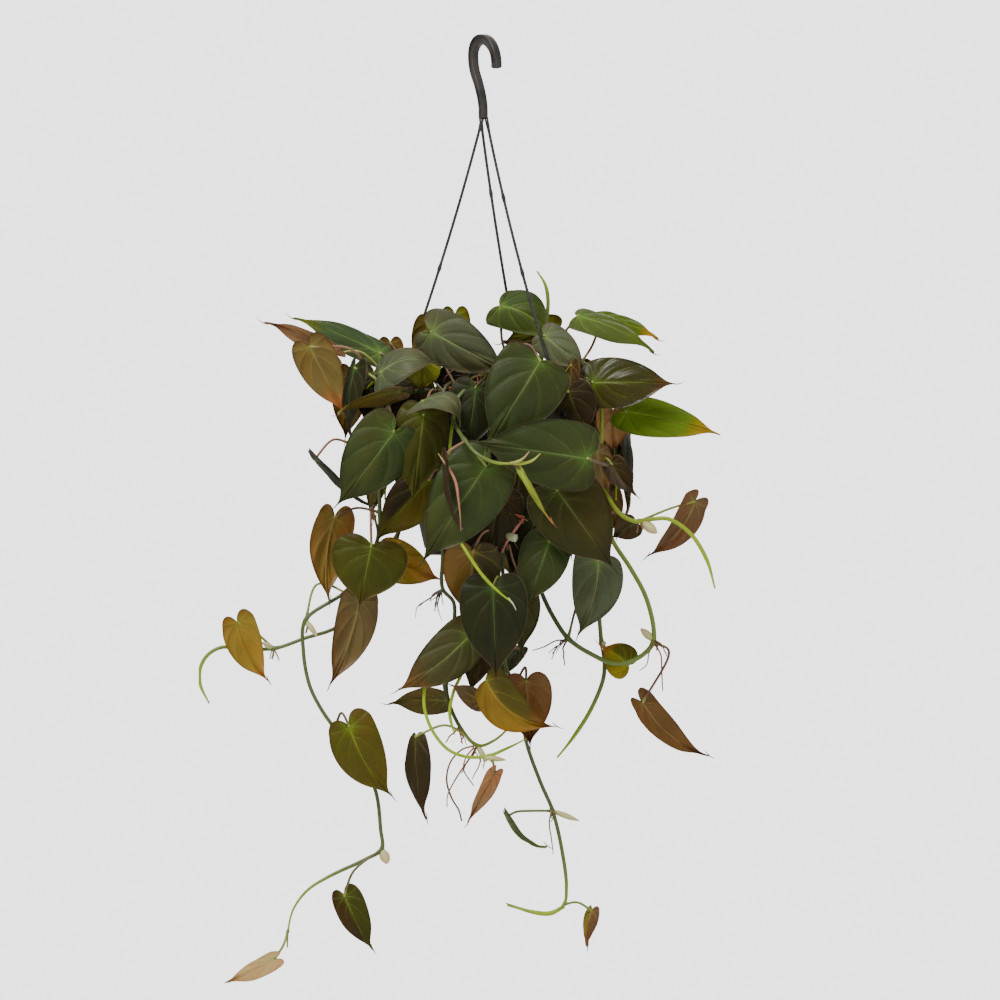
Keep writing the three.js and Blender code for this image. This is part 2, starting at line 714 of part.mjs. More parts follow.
        via: [[498, 576, -124]],
      },
      { from: [503, 596], joint: [513, 590, -108], tip: [523, 652, -104], width: 50 },
      { from: [505, 655], joint: [519, 648, -80], tip: [494, 684, -78], width: 28, turn: 60 },
      {
        from: [508, 674], joint: [486, 679, -126], tip: [556, 725, -122],
        width: 46, turn: 170, sway: -0.15, lobes: 0.3,
        via: [[494, 668, -112]],
      },
      {
        from: [514, 688], joint: [526, 680, -106], tip: [530, 745, -104], width: 50, turn: 180,
        via: [[525, 666, -98]],
      },
      {
        from: [552, 808], joint: [506, 815, -88], tip: [546, 846, -90], width: 22, turn: 75, arch: 0.13,
        via: [[530, 809, -88], [516, 810, -88]],
      },
      {
        from: [564, 901], joint: [591, 908, -88], tip: [586, 944, -88], width: 22, turn: 50,
        via: [[577, 900, -88]],
      },
    ],
    sheaths: [{ from: [552, 808], tip: [579, 819, -88] }],
  },
  {
    name: 'vine_front_right',
    soil: [520, -58],
    route: [
      [524, 388, -78], [528, 383, -92], [530, 396, -101], [531, 430, -102], [531, 480, -98], [531, 530, -92],
      [532, 562, -90],
    ],
    leaves: [
      {
        from: [531, 450], joint: [520, 470, -97], tip: [511, 576, -88], width: 40, turn: 8,
        via: [[526, 458, -110]],
      },
      { from: [531, 500], joint: [540, 506, -100], tip: [508, 580, -86], width: 50, turn: -10 },
      {
        from: [532, 530], joint: [549, 541, -114], tip: [526, 606, -117], width: 50,
        via: [[540, 530, -104]],
      },
    ],
  },
  {
    name: 'vine_right_reach',
    soil: [548, -40],
    route: [
      [556, 386, -48], [576, 380, -56], [592, 388, -62], [600, 404, -64], [601, 430, -64], [600, 460, -64],
      [606, 492, -66], [620, 514, -68], [634, 521, -68], [652, 519, -68], [668, 519, -68], [690, 534, -68],
      [706, 560, -68], [714, 588, -68],
    ],
    leaves: [
      {
        from: [600, 462], joint: [587, 459, -162], tip: [473, 442, -164], width: 70, lobes: 0.6,
        via: [[606, 466, -110]],
      },
      { from: [601, 440], joint: [596, 452, -76], tip: [608, 494, -76], width: 28, turn: 165 },
      { from: [600, 462], joint: [611, 464, -84], tip: [635, 496, -84], width: 27, turn: 30 },
      {
        from: [640, 521], joint: [694, 501, -58], tip: [645, 556, -58], width: 30, turn: 160, sway: 0.14,
        via: [[668, 509, -60]],
      },
    ],
    sheaths: [{ from: [638, 521], tip: [650, 532, -76] }],
  },
  {
    name: 'vine_right_loop',
    soil: [556, -14],
    route: [
      [568, 384, -16], [586, 378, -18], [602, 388, -22], [608, 406, -26], [606, 440, -30], [603, 480, -36],
      [604, 515, -42], [612, 540, -48], [630, 568, -54], [645, 596, -58], [653, 628, -60], [652, 643, -60],
      [638, 657, -60], [615, 663, -60], [590, 653, -60], [568, 638, -60], [554, 618, -58], [543, 596, -56],
      [537, 578, -56],
    ],
    leaves: [
      {
        from: [604, 500], joint: [556, 490, -136], tip: [613, 568, -128], width: 76,
        via: [[592, 506, -90]],
      },
      { from: [604, 515], joint: [634, 523, -46], tip: [611, 538, -40], width: 27, turn: 165 },
      {
        from: [568, 638], joint: [598, 559, -86], tip: [577, 636, -84], width: 52, sway: -0.07, lobes: 0.6,
        via: [[578, 600, -66]],
      },
      {
        from: [652, 643], joint: [642, 702, -62], tip: [707, 756, -62], width: 31, turn: 150, sway: -0.07,
        via: [[668, 650, -62]],
      },
    ],
    sheaths: [{ from: [653, 640], tip: [641, 629, -66] }],
  },
  {
    name: 'vine_right_low',
    soil: [552, 6],
    route: [
      [566, 388, 8], [584, 380, 9], [600, 390, 8], [607, 408, 6], [604, 440, 3], [599, 480, -4],
      [596, 520, -14], [596, 560, -26], [598, 600, -34], [601, 640, -40], [604, 660, -42], [603, 678, -42],
      [590, 710, -42], [572, 738, -42], [557, 757, -42],
    ],
    leaves: [
      {
        from: [601, 642], joint: [628, 664, -50], tip: [601, 645, -50], width: 38, turn: 20,
        via: [[614, 660, -44]],
      },
    ],
    sheaths: [{ from: [601, 640], tip: [604, 650, -46] }],
  },
  {
    name: 'vine_right_crown',
    soil: [530, -30],
    route: [[538, 384, -30], [556, 370, -28], [576, 362, -26], [590, 368, -26], [598, 382, -28]],
    leaves: [
      {
        from: [576, 362], joint: [578, 316, -20], tip: [655, 351, -24], width: 41, turn: -52, lobes: 0.4,
        via: [[562, 340, -22]],
      },
      {
        from: [580, 363], joint: [602, 318, 4], tip: [659, 338, 4], width: 32, turn: -50,
        via: [[592, 346, -10]],
      },
      {
        from: [592, 370], joint: [592, 383, -82], tip: [675, 384, -84], width: 52, turn: -10,
        via: [[588, 372, -50]],
      },
      {
        from: [598, 382], joint: [625, 412, -60], tip: [720, 434, -62], width: 42, turn: -22,
        via: [[612, 396, -44]],
      },
      {
        from: [598, 380], joint: [612, 412, -44], tip: [614, 454, -44], width: 33, turn: 180,
        via: [[606, 392, -36]],
      },
      {
        from: [556, 370], joint: [571, 366, -74], tip: [577, 410, -76], width: 26, turn: 60,
        via: [[560, 378, -50]],
      },
    ],
  },
  {
    name: 'vine_crown_top',
    soil: [538, 18],
    route: [[538, 380, 16], [542, 352, 10], [546, 325, 6], [548, 300, 4], [545, 284, 4], [537, 271, 4]],
    leaves: [
      {
        from: [538, 372], joint: [500, 306, -6], tip: [550, 343, -16],
        width: 48, turn: -10, sway: -0.14, lobes: 0.7,
        via: [[506, 352, 0]],
      },
      {
        from: [540, 360], joint: [556, 330, 24], tip: [500, 344, 18], width: 36, turn: 180,
        via: [[554, 342, 20]],
      },
      {
        from: [541, 356], joint: [544, 336, -50], tip: [587, 370, -60], width: 36, turn: -5,
        via: [[540, 342, -14]],
      },
    ],
  },
  {
    name: 'vine_crown_middle',
    soil: [474, -20],
    route: [[470, 384, -20], [460, 366, -22], [448, 356, -24], [438, 352, -26]],
    leaves: [
      {
        from: [460, 366], joint: [455, 315, -26], tip: [456, 372, -36], width: 31, turn: 180,
        via: [[462, 344, -20]],
      },
      {
        from: [440, 353], joint: [429, 323, -42], tip: [420, 376, -40], width: 30, turn: 180,
        via: [[428, 340, -34]],
      },
      {
        from: [448, 356], joint: [424, 364, -60], tip: [422, 393, -62], width: 34, turn: 180,
        via: [[438, 368, -46]],
      },
    ],
  },
];

// Vines that hang round the back and the sides, made by rule: each comes over the rim at its
// azimuth and hangs at its reach, with leaves that face outwards and take turns left and right
const BACK_VINES = [
  { azimuth: 26, reach: 110, leaves: 2, end: 466 },
  { azimuth: 46, reach: 138, leaves: 4, end: 530 },
  { azimuth: 64, reach: 112, leaves: 4, end: 560 },
  { azimuth: 88, reach: 134, leaves: 4, end: 600 },
  { azimuth: 113, reach: 112, leaves: 4, end: 560 },
  { azimuth: 138, reach: 132, leaves: 3, end: 500 },
  { azimuth: 159, reach: 112, leaves: 2, end: 450 },
  { azimuth: 2, reach: 122, leaves: 3, end: 500 },
  { azimuth: 183, reach: 109, leaves: 3, end: 500 },
];
const BACK = {
  soilRadius: 62,
  topRow: 372,
  overRimRow: 388,
  hangRow: 412,
  firstRow: 392,
  lastSpace: 20,
  leafLength: 74,
  leafWidth: 54,
  leafLoss: 0.08,
  petioleDrop: 14,
  sideways: 13,
  tipSideways: 8,
  stand: 9,
};
// How far the draws may move a leaf's row, size, tip and turn
const BACK_DRAWS = { row: 4, size: 0.05, tip: 5, turn: 6 };

// Repeatable draws between -1 and 1
function makeDraw(seed) {
  let state = seed;
  return () => {
    state = (state * 16807) % 2147483647;
    return (2 * state) / 2147483647 - 1;
  };
}

function backVine({ azimuth, reach, leaves, end }, index) {
  const draw = makeDraw(1009 + 77 * index);
  const degreesPerStep = 180 / (Math.PI * reach);
  const [soilColumn, , soilDepth] = around(azimuth, BACK.soilRadius, 0);
  const route = [
    around(azimuth, BACK.soilRadius + 14, BACK.topRow + 12),
    around(azimuth, BACK.soilRadius + 34, BACK.topRow),
    around(azimuth, reach - 4, BACK.overRimRow),
    around(azimuth, reach, BACK.hangRow),
    around(azimuth, reach, (BACK.hangRow + end) / 2),
    around(azimuth, reach, end),
  ];
  const spacing = (end - BACK.firstRow - BACK.lastSpace) / leaves;
  const blades = Array.from({ length: leaves }, (_, order) => {
    const side = order % 2 === 0 ? 1 : -1;
    const row = BACK.firstRow + spacing * order + BACK_DRAWS.row * draw();
    const size = 1 - BACK.leafLoss * order + BACK_DRAWS.size * draw();
    const jointAzimuth = azimuth + side * BACK.sideways * degreesPerStep;
    const tipAzimuth = jointAzimuth + (side * BACK.tipSideways + BACK_DRAWS.tip * draw()) * degreesPerStep;
    const radius = reach + BACK.stand;
    return {
      from: around(azimuth, reach, row + BACK.petioleDrop),
      joint: around(jointAzimuth, radius, row),
      tip: around(tipAzimuth, radius + 6, row + BACK.leafLength * size),
      width: BACK.leafWidth * size,
      facing: jointAzimuth,
      turn: BACK_DRAWS.turn * draw(),
    };
  });
  return { name: `vine_back_${index + 1}`, soil: [soilColumn, soilDepth], route, leaves: blades };
}

// Materials
function material(name, colour, roughness) {
  return new THREE.MeshStandardMaterial({ name, color: colour, roughness, metalness: 0 });
}

// Leaf colours that the vines take in turn
const LEAF_COLOURS = {
  darkGreen: 0x3c4722,
  olive: 0x5d5f22,
  midGreen: 0x4b5a2c,
  bronze: 0x7a5a2a,
  deepGreen: 0x39421f,
  greyGreen: 0x6f7a4c,
};

// Assembly
const model = new THREE.Group();
const vines = [...FRONT_VINES, ...BACK_VINES.map(backVine)];
const leafColours = Object.values(LEAF_COLOURS);
const plastic = material('black plastic', 0x232323, 0.45);

model.add(meshFromSolid('hook', makeHook(), plastic));
for (const strand of STRANDS) {
  model.add(meshFromSolid(strand.name, makeStrand(strand), material('strand plastic', 0x2c2d2e, 0.5)));
}
model.add(meshFromSolid('pot', makePot(), plastic));
model.add(meshFromSolid('soil', makeSoil(vines), material('potting mix', 0x3b2a1e, 1)));
vines.forEach((vine, index) => {
  const colour = leafColours[index % leafColours.length];
  model.add(meshFromSolid(vine.name, makeVine(vine), material(vine.name, colour, 0.6)));
});

export default model;
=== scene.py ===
"""Looks of a potted micans philodendron that hangs from its hook by three strands.

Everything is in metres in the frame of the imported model. Places are read off a front drawing of the
plant as (column, row, depth): columns run to the right, rows run down and depth runs away from the
viewer, all in steps of the same length. The pot's rim is 206 steps across.
"""
import logging
import math
from dataclasses import dataclass, field
from enum import Enum
from typing import Any, Iterable, Sequence

import bmesh
import bpy
import numpy as np
from mathutils import Matrix, Vector


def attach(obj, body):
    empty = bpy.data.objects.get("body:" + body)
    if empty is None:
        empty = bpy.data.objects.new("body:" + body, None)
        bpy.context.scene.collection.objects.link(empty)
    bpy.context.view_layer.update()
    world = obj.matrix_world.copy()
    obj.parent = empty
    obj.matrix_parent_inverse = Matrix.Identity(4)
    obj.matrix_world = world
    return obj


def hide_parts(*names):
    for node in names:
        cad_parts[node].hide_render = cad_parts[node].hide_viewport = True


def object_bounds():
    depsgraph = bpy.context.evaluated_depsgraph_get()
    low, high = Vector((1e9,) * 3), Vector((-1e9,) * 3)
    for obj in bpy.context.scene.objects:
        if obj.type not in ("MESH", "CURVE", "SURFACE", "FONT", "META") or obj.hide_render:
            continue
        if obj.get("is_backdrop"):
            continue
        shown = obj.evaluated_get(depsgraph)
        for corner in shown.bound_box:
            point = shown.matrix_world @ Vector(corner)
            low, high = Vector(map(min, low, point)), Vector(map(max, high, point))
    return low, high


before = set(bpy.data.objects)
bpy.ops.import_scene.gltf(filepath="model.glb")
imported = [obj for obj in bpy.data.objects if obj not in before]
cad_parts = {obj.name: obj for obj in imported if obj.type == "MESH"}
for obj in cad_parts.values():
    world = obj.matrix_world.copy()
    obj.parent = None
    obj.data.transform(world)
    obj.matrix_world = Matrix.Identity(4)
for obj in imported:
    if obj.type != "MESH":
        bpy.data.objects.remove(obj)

log = logging.getLogger("philodendron")

POT_DIAMETER = 0.170
POT_STEPS = 206
STEP = POT_DIAMETER / POT_STEPS
MM = 0.001
HOOK_COLUMN = 482
HOOK_ROW = 45
POT_COLUMN = 494
# The pot in steps: its radii at the rim, under the lip and at the base, and its wall
RIM_STEPS, NECK_STEPS, BASE_STEPS, WALL_STEPS = 103, 99, 68, 2.4
POT_BASE_ROW = 555
LUG_ROW = 414
SOIL_GAP_STEPS = 0.66
BODY = "root"
UP = np.array([0.0, 0.0, 1.0])
# About a full turn, for the phases of waves
FULL_TURN = 6.28
# How many points a smooth line has between two of its knots, before they are spaced evenly
LINE_STEPS = 24
# The box of the solids, which no piece may leave, and how far inside it the points stay
CAD_LOW, CAD_HIGH = (np.array(corner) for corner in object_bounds())
INSIDE = 0.01 * MM

Place = tuple[float, ...]
Colour = tuple[float, float, float]
Array = np.ndarray


def at(place: Sequence[float]) -> Array:
    """Turns a place on the front drawing into a point of the part, in metres."""
    column, row, depth = place
    return np.array([(column - HOOK_COLUMN) * STEP, depth * STEP, (HOOK_ROW - row) * STEP])


def around(azimuth: float, radius: float, row: float) -> Place:
    """Gives a place round the pot's axis; azimuth 0 is to the right and 90 is at the back."""
    angle = math.radians(azimuth)
    return (POT_COLUMN + radius * math.cos(angle), row, radius * math.sin(angle))


def linear(colour: Sequence[float]) -> Colour:
    """Turns a colour of 0 to 255 parts into the linear values that a shader takes."""
    shares = [part / 255 for part in colour]
    return tuple(s / 12.92 if s <= 0.04045 else ((s + 0.055) / 1.055) ** 2.4 for s in shares)


def shade(colour: Sequence[float]) -> Array:
    """Gives the linear values of a colour of 0 to 255 parts as an array."""
    return np.array(linear(colour))


def toward(first: Array, second: Array, share: Any) -> Array:
    """Goes from the first colour to the second by a share."""
    return first + (second - first) * share


def put(name: str, data: Any) -> bpy.types.Object:
    """Adds an object with its data to the scene, at the origin."""
    made = bpy.data.objects.new(name, data)
    bpy.context.scene.collection.objects.link(made)
    return made


def unit(vector: Array) -> Array:
    """Scales a vector to a length of one."""
    return vector / np.linalg.norm(vector)


def smooth_step(low: float, high: float, value: Any) -> Any:
    """Rises smoothly from 0 at low to 1 at high."""
    share = np.clip((value - low) / (high - low), 0.0, 1.0)
    return share * share * (3 - 2 * share)


def smooth_line(points: Sequence[Array], spacing: float) -> Array:
    """Lays a smooth line through points, with its knots set by the root of their distances.

    Args:
        points: The points that the line passes through, two or more.
        spacing: About how far apart the line's own points are.

    Returns:
        The line's points, evenly spaced, as rows of three numbers.
    """
    rows = [np.asarray(point, float) for point in points]
    rows = [2 * rows[0] - rows[1], *rows, 2 * rows[-1] - rows[-2]]
    fine = []
    share = np.linspace(0, 1, LINE_STEPS, endpoint=False)[:, None]
    for first, start, end, last in zip(rows, rows[1:], rows[2:], rows[3:]):
        pairs = ((first, start), (start, end), (end, last))
        before, middle, after = (max(np.linalg.norm(b - a), 1e-6) ** 0.5 for a, b in pairs)
        leave = (
            (start - first) / before - (end - first) / (before + middle) + (end - start) / middle)
        arrive = (end - start) / middle - (last - start) / (middle + after) + (last - end) / after
        leave, arrive = leave * middle, arrive * middle
        square = -3 * start + 3 * end - 2 * leave - arrive
        cube = 2 * start - 2 * end + leave + arrive
        fine.append(start + share * (leave + share * (square + share * cube)))
    line = np.vstack([*fine, rows[-2][None]])
    return evenly(line, spacing)


def evenly(line: Array, spacing: float) -> Array:
    """Sets the points of a line evenly along it.

    Args:
        line: The line's points.
        spacing: About how far apart the new points are.

    Returns:
        The new points.
    """
    run = np.concatenate([[0], np.cumsum(np.linalg.norm(np.diff(line, axis=0), axis=1))])
    count = max(3, int(round(run[-1] / spacing)) + 1)
    wanted = np.linspace(0, run[-1], count)
    return np.stack([np.interp(wanted, run, line[:, axis]) for axis in range(3)], axis=1)


# The surface values of every point: the attribute's type, its field and how many numbers it has
LAYERS = {
    "tint": ("FLOAT_COLOR", "color", 3),
    "vein_tint": ("FLOAT_COLOR", "color", 3),
    "vein_place": ("FLOAT_VECTOR", "vector", 3),
    "margin": ("FLOAT", "value", 1),
}


@dataclass
class MeshParts:
    """Points, faces and surface values that are gathered for one piece.

    Every point has a tint, a vein tint, a margin, which is its distance from the rim in
    millimetres, and a vein place: its distance from the midrib in millimetres, its number along
    the rim in veins, and the spacing of the veins in millimetres.
    """

    points: list[Array] = field(default_factory=list)
    faces: list[tuple[int, ...]] = field(default_factory=list)
    finishes: list[int] = field(default_factory=list)
    layers: dict[str, list[Array]] = field(default_factory=lambda: {key: [] for key in LAYERS})
    count: int = 0

    def add(
        self, points: Array, faces: Iterable[Sequence[int]], finish: int, **values: Array
    ) -> None:
        """Adds points and faces.

        Args:
            points: The new points, one row each.
            faces: Corners of the new faces, counted from the first new point.
            finish: The number of the material that the faces take.
            values: A row for each point, for any of tint, vein_tint, vein_place and margin.
        """
        size = len(points)
        for face in faces:
            self.faces.append(tuple(int(corner) + self.count for corner in face))
            self.finishes.append(finish)
        self.points.append(points)
        for label, (_, _, width) in LAYERS.items():
            given = np.asarray(values.get(label, 1.0), float)
            self.layers[label].append(np.broadcast_to(given, (size, width)))
        self.count += size

    def add_mesh(self, mesh: bpy.types.Mesh, finish: int) -> None:
        """Adds a finished mesh with its tints.

        Args:
            mesh: The mesh, which is removed afterwards.
            finish: The number of the material that its faces take.
        """
        points = np.empty(len(mesh.vertices) * 3)
        mesh.vertices.foreach_get("co", points)
        tints = np.ones(len(mesh.vertices) * 4)
        if "tint" in mesh.attributes:
            mesh.attributes["tint"].data.foreach_get("color", tints)
        faces = [tuple(face.vertices) for face in mesh.polygons]
        self.add(points.reshape(-1, 3), faces, finish, tint=tints.reshape(-1, 4)[:, :3])
        bpy.data.meshes.remove(mesh)

    def piece(self, name: str, materials: Sequence[bpy.types.Material]) -> bpy.types.Object:
        """Makes the gathered mesh into a piece at the origin, shaded smooth.

        Args:
            name: The piece's name.
            materials: The materials, in the order of their numbers.

        Returns:
            The new object.
        """
        mesh = bpy.data.meshes.new(name)
        points = np.clip(np.vstack(self.points), CAD_LOW + INSIDE, CAD_HIGH - INSIDE)
        mesh.from_pydata(points.tolist(), [], self.faces)
        for material in materials:
            mesh.materials.append(material)
        mesh.polygons.foreach_set("material_index", self.finishes)
        for label, (kind, key, _) in LAYERS.items():
            rows = np.vstack(self.layers[label])
            if kind == "FLOAT_COLOR":
                rows = np.hstack([rows, np.ones((self.count, 1))])
            mesh.attributes.new(label, kind, "POINT").data.foreach_set(key, rows.ravel())
        mesh.shade_smooth()
        mesh.update()
        return put(name, mesh)


def carry(piece: bpy.types.Object, slot: str, *nodes: str) -> None:
    """Lets a piece ride on the part's body, in the place of nodes of the frame.

    Args:
        piece: The finished piece.
        slot: The name of the material slot that it stands for; it is not used.
        nodes: The nodes that it stands for.
    """
    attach(piece, BODY)
    if nodes:
        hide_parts(*nodes)
    stands_for = ", ".join(nodes) or "detail"
    log.info("%s: %d faces for %s", piece.name, len(piece.data.polygons), stands_for)


class NodeSheet:
    """A node tree, with short calls that add nodes and join them."""

    def __init__(self, tree: bpy.types.NodeTree) -> None:
        """Keeps the tree and empties it."""
        self.tree = tree
        tree.nodes.clear()

    def add(
        self, kind: str, inputs: dict[Any, Any] | None = None, **settings: Any
    ) -> bpy.types.Node:
        """Adds a node.

        Args:
            kind: The node's type.
            inputs: A value or an output socket for each input, by its name or number.
            settings: The node's own settings.

        Returns:
            The new node.
        """
        node = self.tree.nodes.new(kind)
        for name, value in settings.items():
            setattr(node, name, value)
        for key, value in (inputs or {}).items():
            self.feed(node.inputs[key], value)
        return node

    def feed(self, socket: bpy.types.NodeSocket, value: Any) -> None:
        """Joins an output to a socket, or sets the socket's own value."""
        if isinstance(value, bpy.types.NodeSocket):
            self.tree.links.new(value, socket)
        else:
            socket.default_value = value

    def math(self, operation: str, *values: Any) -> bpy.types.NodeSocket:
        """Adds a Math node and gives its result."""
        return self.add("ShaderNodeMath", dict(enumerate(values)), operation=operation).outputs[0]

    def part(self, value: Any, share: float) -> bpy.types.NodeSocket:
        """Takes a share of a value."""
        return self.math("MULTIPLY", value, share)

    def ramp(
        self, value: Any, low: float, high: float, start: float = 0.0, end: float = 1.0
    ) -> bpy.types.NodeSocket:
        """Maps a value smoothly from low..high to start..end."""
        inputs = {"Value": value, "From Min": low, "From Max": high, "To Min": start, "To Max": end}
        return self.add("ShaderNodeMapRange", inputs, interpolation_type="SMOOTHSTEP").outputs[0]

    def blend(
        self, share: Any, first: Any, second: Any, mode: str = "MIX"
    ) -> bpy.types.NodeSocket:
        """Mixes two colours and gives the result."""
        node = self.add("ShaderNodeMix", data_type="RGBA", blend_type=mode)
        for number, value in ((0, share), (6, first), (7, second)):
            plain = isinstance(value, tuple) and len(value) == 3
            self.feed(node.inputs[number], (*value, 1.0) if plain else value)
        return node.outputs[2]

    def noise(self, place: Any, scale: float, detail: float = 3.0, rough: float = 0.55) -> Any:
        """Adds a noise over a place and gives its value."""
        inputs = {"Vector": place, "Scale": scale, "Detail": detail, "Roughness": rough}
        return self.add("ShaderNodeTexNoise", inputs).outputs[0]

    def attribute(self, name: str) -> bpy.types.Node:
        """Reads an attribute of the piece's own surface."""
        return self.add("ShaderNodeAttribute", attribute_name=name)


def new_group(name: str, inputs: dict[str, Any]) -> tuple[NodeSheet, Any]:
    """Starts a shader node group with named inputs.

    Args:
        name: The group's name.
        inputs: The default value of each input; a tuple makes a vector.

    Returns:
        The group's sheet and the sockets that bring its inputs.
    """
    tree = bpy.data.node_groups.new(name, "ShaderNodeTree")
    for label, value in inputs.items():
        kind = "NodeSocketVector" if isinstance(value, tuple) else "NodeSocketFloat"
        tree.interface.new_socket(label, in_out="INPUT", socket_type=kind).default_value = value
    sheet = NodeSheet(tree)
    return sheet, sheet.add("NodeGroupInput").outputs


def end_group(sheet: NodeSheet, results: dict[str, bpy.types.NodeSocket]) -> bpy.types.NodeTree:
    """Gives a shader node group its named outputs.

    Args:
        sheet: The group's sheet.
        results: What each output gives, by its name.

    Returns:
        The finished group.
    """
    for label in results:
        sheet.tree.interface.new_socket(label, in_out="OUTPUT", socket_type="NodeSocketFloat")
    sheet.add("NodeGroupOutput", results)
    return sheet.tree


def vein_group() -> bpy.types.NodeTree:
    """Builds the group that draws the veins of a blade from the places on its surface.

    The side veins run where the number along the rim is whole and a half, and they wander a
    little. The fine ones lie between them. The relief is sunk at both.

    Returns:
        The group, with a mask of the main veins, a mask of the fine ones and their relief.
    """
    sheet, given = new_group("blade veins", {
        "Vein place": (0.0, 0.0, 1.0), "Midrib width": 0.8, "Vein width": 0.45,
        "Wander": (0.0, 0.0, 0.0),
    })
    from_rib, number, spacing = sheet.add(
        "ShaderNodeSeparateXYZ", {0: given["Vein place"]}).outputs
    wander = sheet.math("SUBTRACT", sheet.noise(given["Wander"], 260.0, 2.0), 0.5)
    bent = sheet.math("MULTIPLY_ADD", wander, 0.16, number)

    def apart(value: Any) -> bpy.types.NodeSocket:
        """Gives how far a number is from the nearest whole and a half, in millimetres."""
        middle = sheet.math("SUBTRACT", sheet.math("FRACT", value), 0.5)
        return sheet.math("MULTIPLY", sheet.math("ABSOLUTE", middle), spacing)

    side = sheet.math("DIVIDE", apart(bent), given["Vein width"])
    side = sheet.ramp(side, 0.35, 1.3, 1.0, 0.0)
    rib = sheet.math("DIVIDE", from_rib, given["Midrib width"])
    rib = sheet.ramp(rib, 0.35, 1.2, 1.0, 0.0)
    faded = sheet.math("MULTIPLY", side, sheet.ramp(from_rib, 1.0, 16.0, 0.85, 0.35))
    fine = sheet.ramp(apart(sheet.math("MULTIPLY", bent, 5.0)), 0.4, 1.6, 1.0, 0.0)
    sunk = sheet.math("MULTIPLY", fine, -0.45)
    return end_group(sheet, {
        "Veins": sheet.math("MAXIMUM", faded, rib),
        "Fine veins": fine,
        "Relief": sheet.math("MULTIPLY_ADD", sheet.math("MAXIMUM", side, rib), -0.8, sunk),
    })


def mottle_group() -> bpy.types.NodeTree:
    """Builds the group that clouds a colour over a surface and speckles it.

    Returns:
        The group, with a cloud mask, a speck mask and a fine grain height.
    """
    sheet, given = new_group("mottle and grain", {
        "Place": (0.0, 0.0, 0.0), "Cloud scale": 40.0, "Speck scale": 300.0, "Grain scale": 1500.0,
    })
    place = given["Place"]
    return end_group(sheet, {
        "Clouds": sheet.ramp(sheet.noise(place, given["Cloud scale"], 4.0), 0.3, 0.7),
        "Specks": sheet.ramp(sheet.noise(place, given["Speck scale"], 2.0), 0.62, 0.72),
        "Grain": sheet.noise(place, given["Grain scale"], 2.0),
    })


VEINS = vein_group()
MOTTLE = mottle_group()


@dataclass(frozen=True)
class Finish:
    """A finish: the values that the surface has all over, and the scales of its mottle."""

    name: str
    rough: float = 0.5
    specular: float = 0.5
    sheen: float = 0.0
    sheen_rough: float = 0.4
    sheen_tint: Colour = (1.0, 1.0, 1.0)
    bump: float = 0.3
    bump_depth: float = 0.0004
    cloud_scale: float = 40.0
    speck_scale: float = 300.0
    grain_scale: float = 1500.0

    def build(self) -> bpy.types.Material:
        """Builds the material.

        Returns:
            The material, with its shader joined to what the finish's own look gives.
        """
        material = bpy.data.materials.new(self.name)
        material.use_nodes = True
        sheet = NodeSheet(material.node_tree)
        place = sheet.add("ShaderNodeTexCoord").outputs["Object"]
        mottle = sheet.add("ShaderNodeGroup", {
            "Place": place, "Cloud scale": self.cloud_scale, "Speck scale": self.speck_scale,
            "Grain scale": self.grain_scale,
        }, node_tree=MOTTLE)
        colour, rough, height = self.look(sheet, place, mottle.outputs)
        bump = sheet.add("ShaderNodeBump", {
            "Strength": self.bump, "Distance": self.bump_depth, "Height": height})
        shader = sheet.add("ShaderNodeBsdfPrincipled", {
            "Base Color": colour, "Roughness": rough, "Normal": bump.outputs[0],
            "Specular IOR Level": self.specular, "Sheen Weight": self.sheen,
            "Sheen Roughness": self.sheen_rough, "Sheen Tint": (*self.sheen_tint, 1.0),
        })
        sheet.add("ShaderNodeOutputMaterial", {"Surface": shader.outputs[0]})
        return material

    def look(self, sheet: NodeSheet, place: Any, mottle: Any) -> tuple[Any, Any, Any]:
        """Lays out what is the finish's own.

        Args:
            sheet: The material's sheet.
            place: The socket of the place on the object.
            mottle: The sockets of the clouds, the specks and the grain.

        Returns:
            The colour, the roughness and the height of the relief.
        """
        raise NotImplementedError


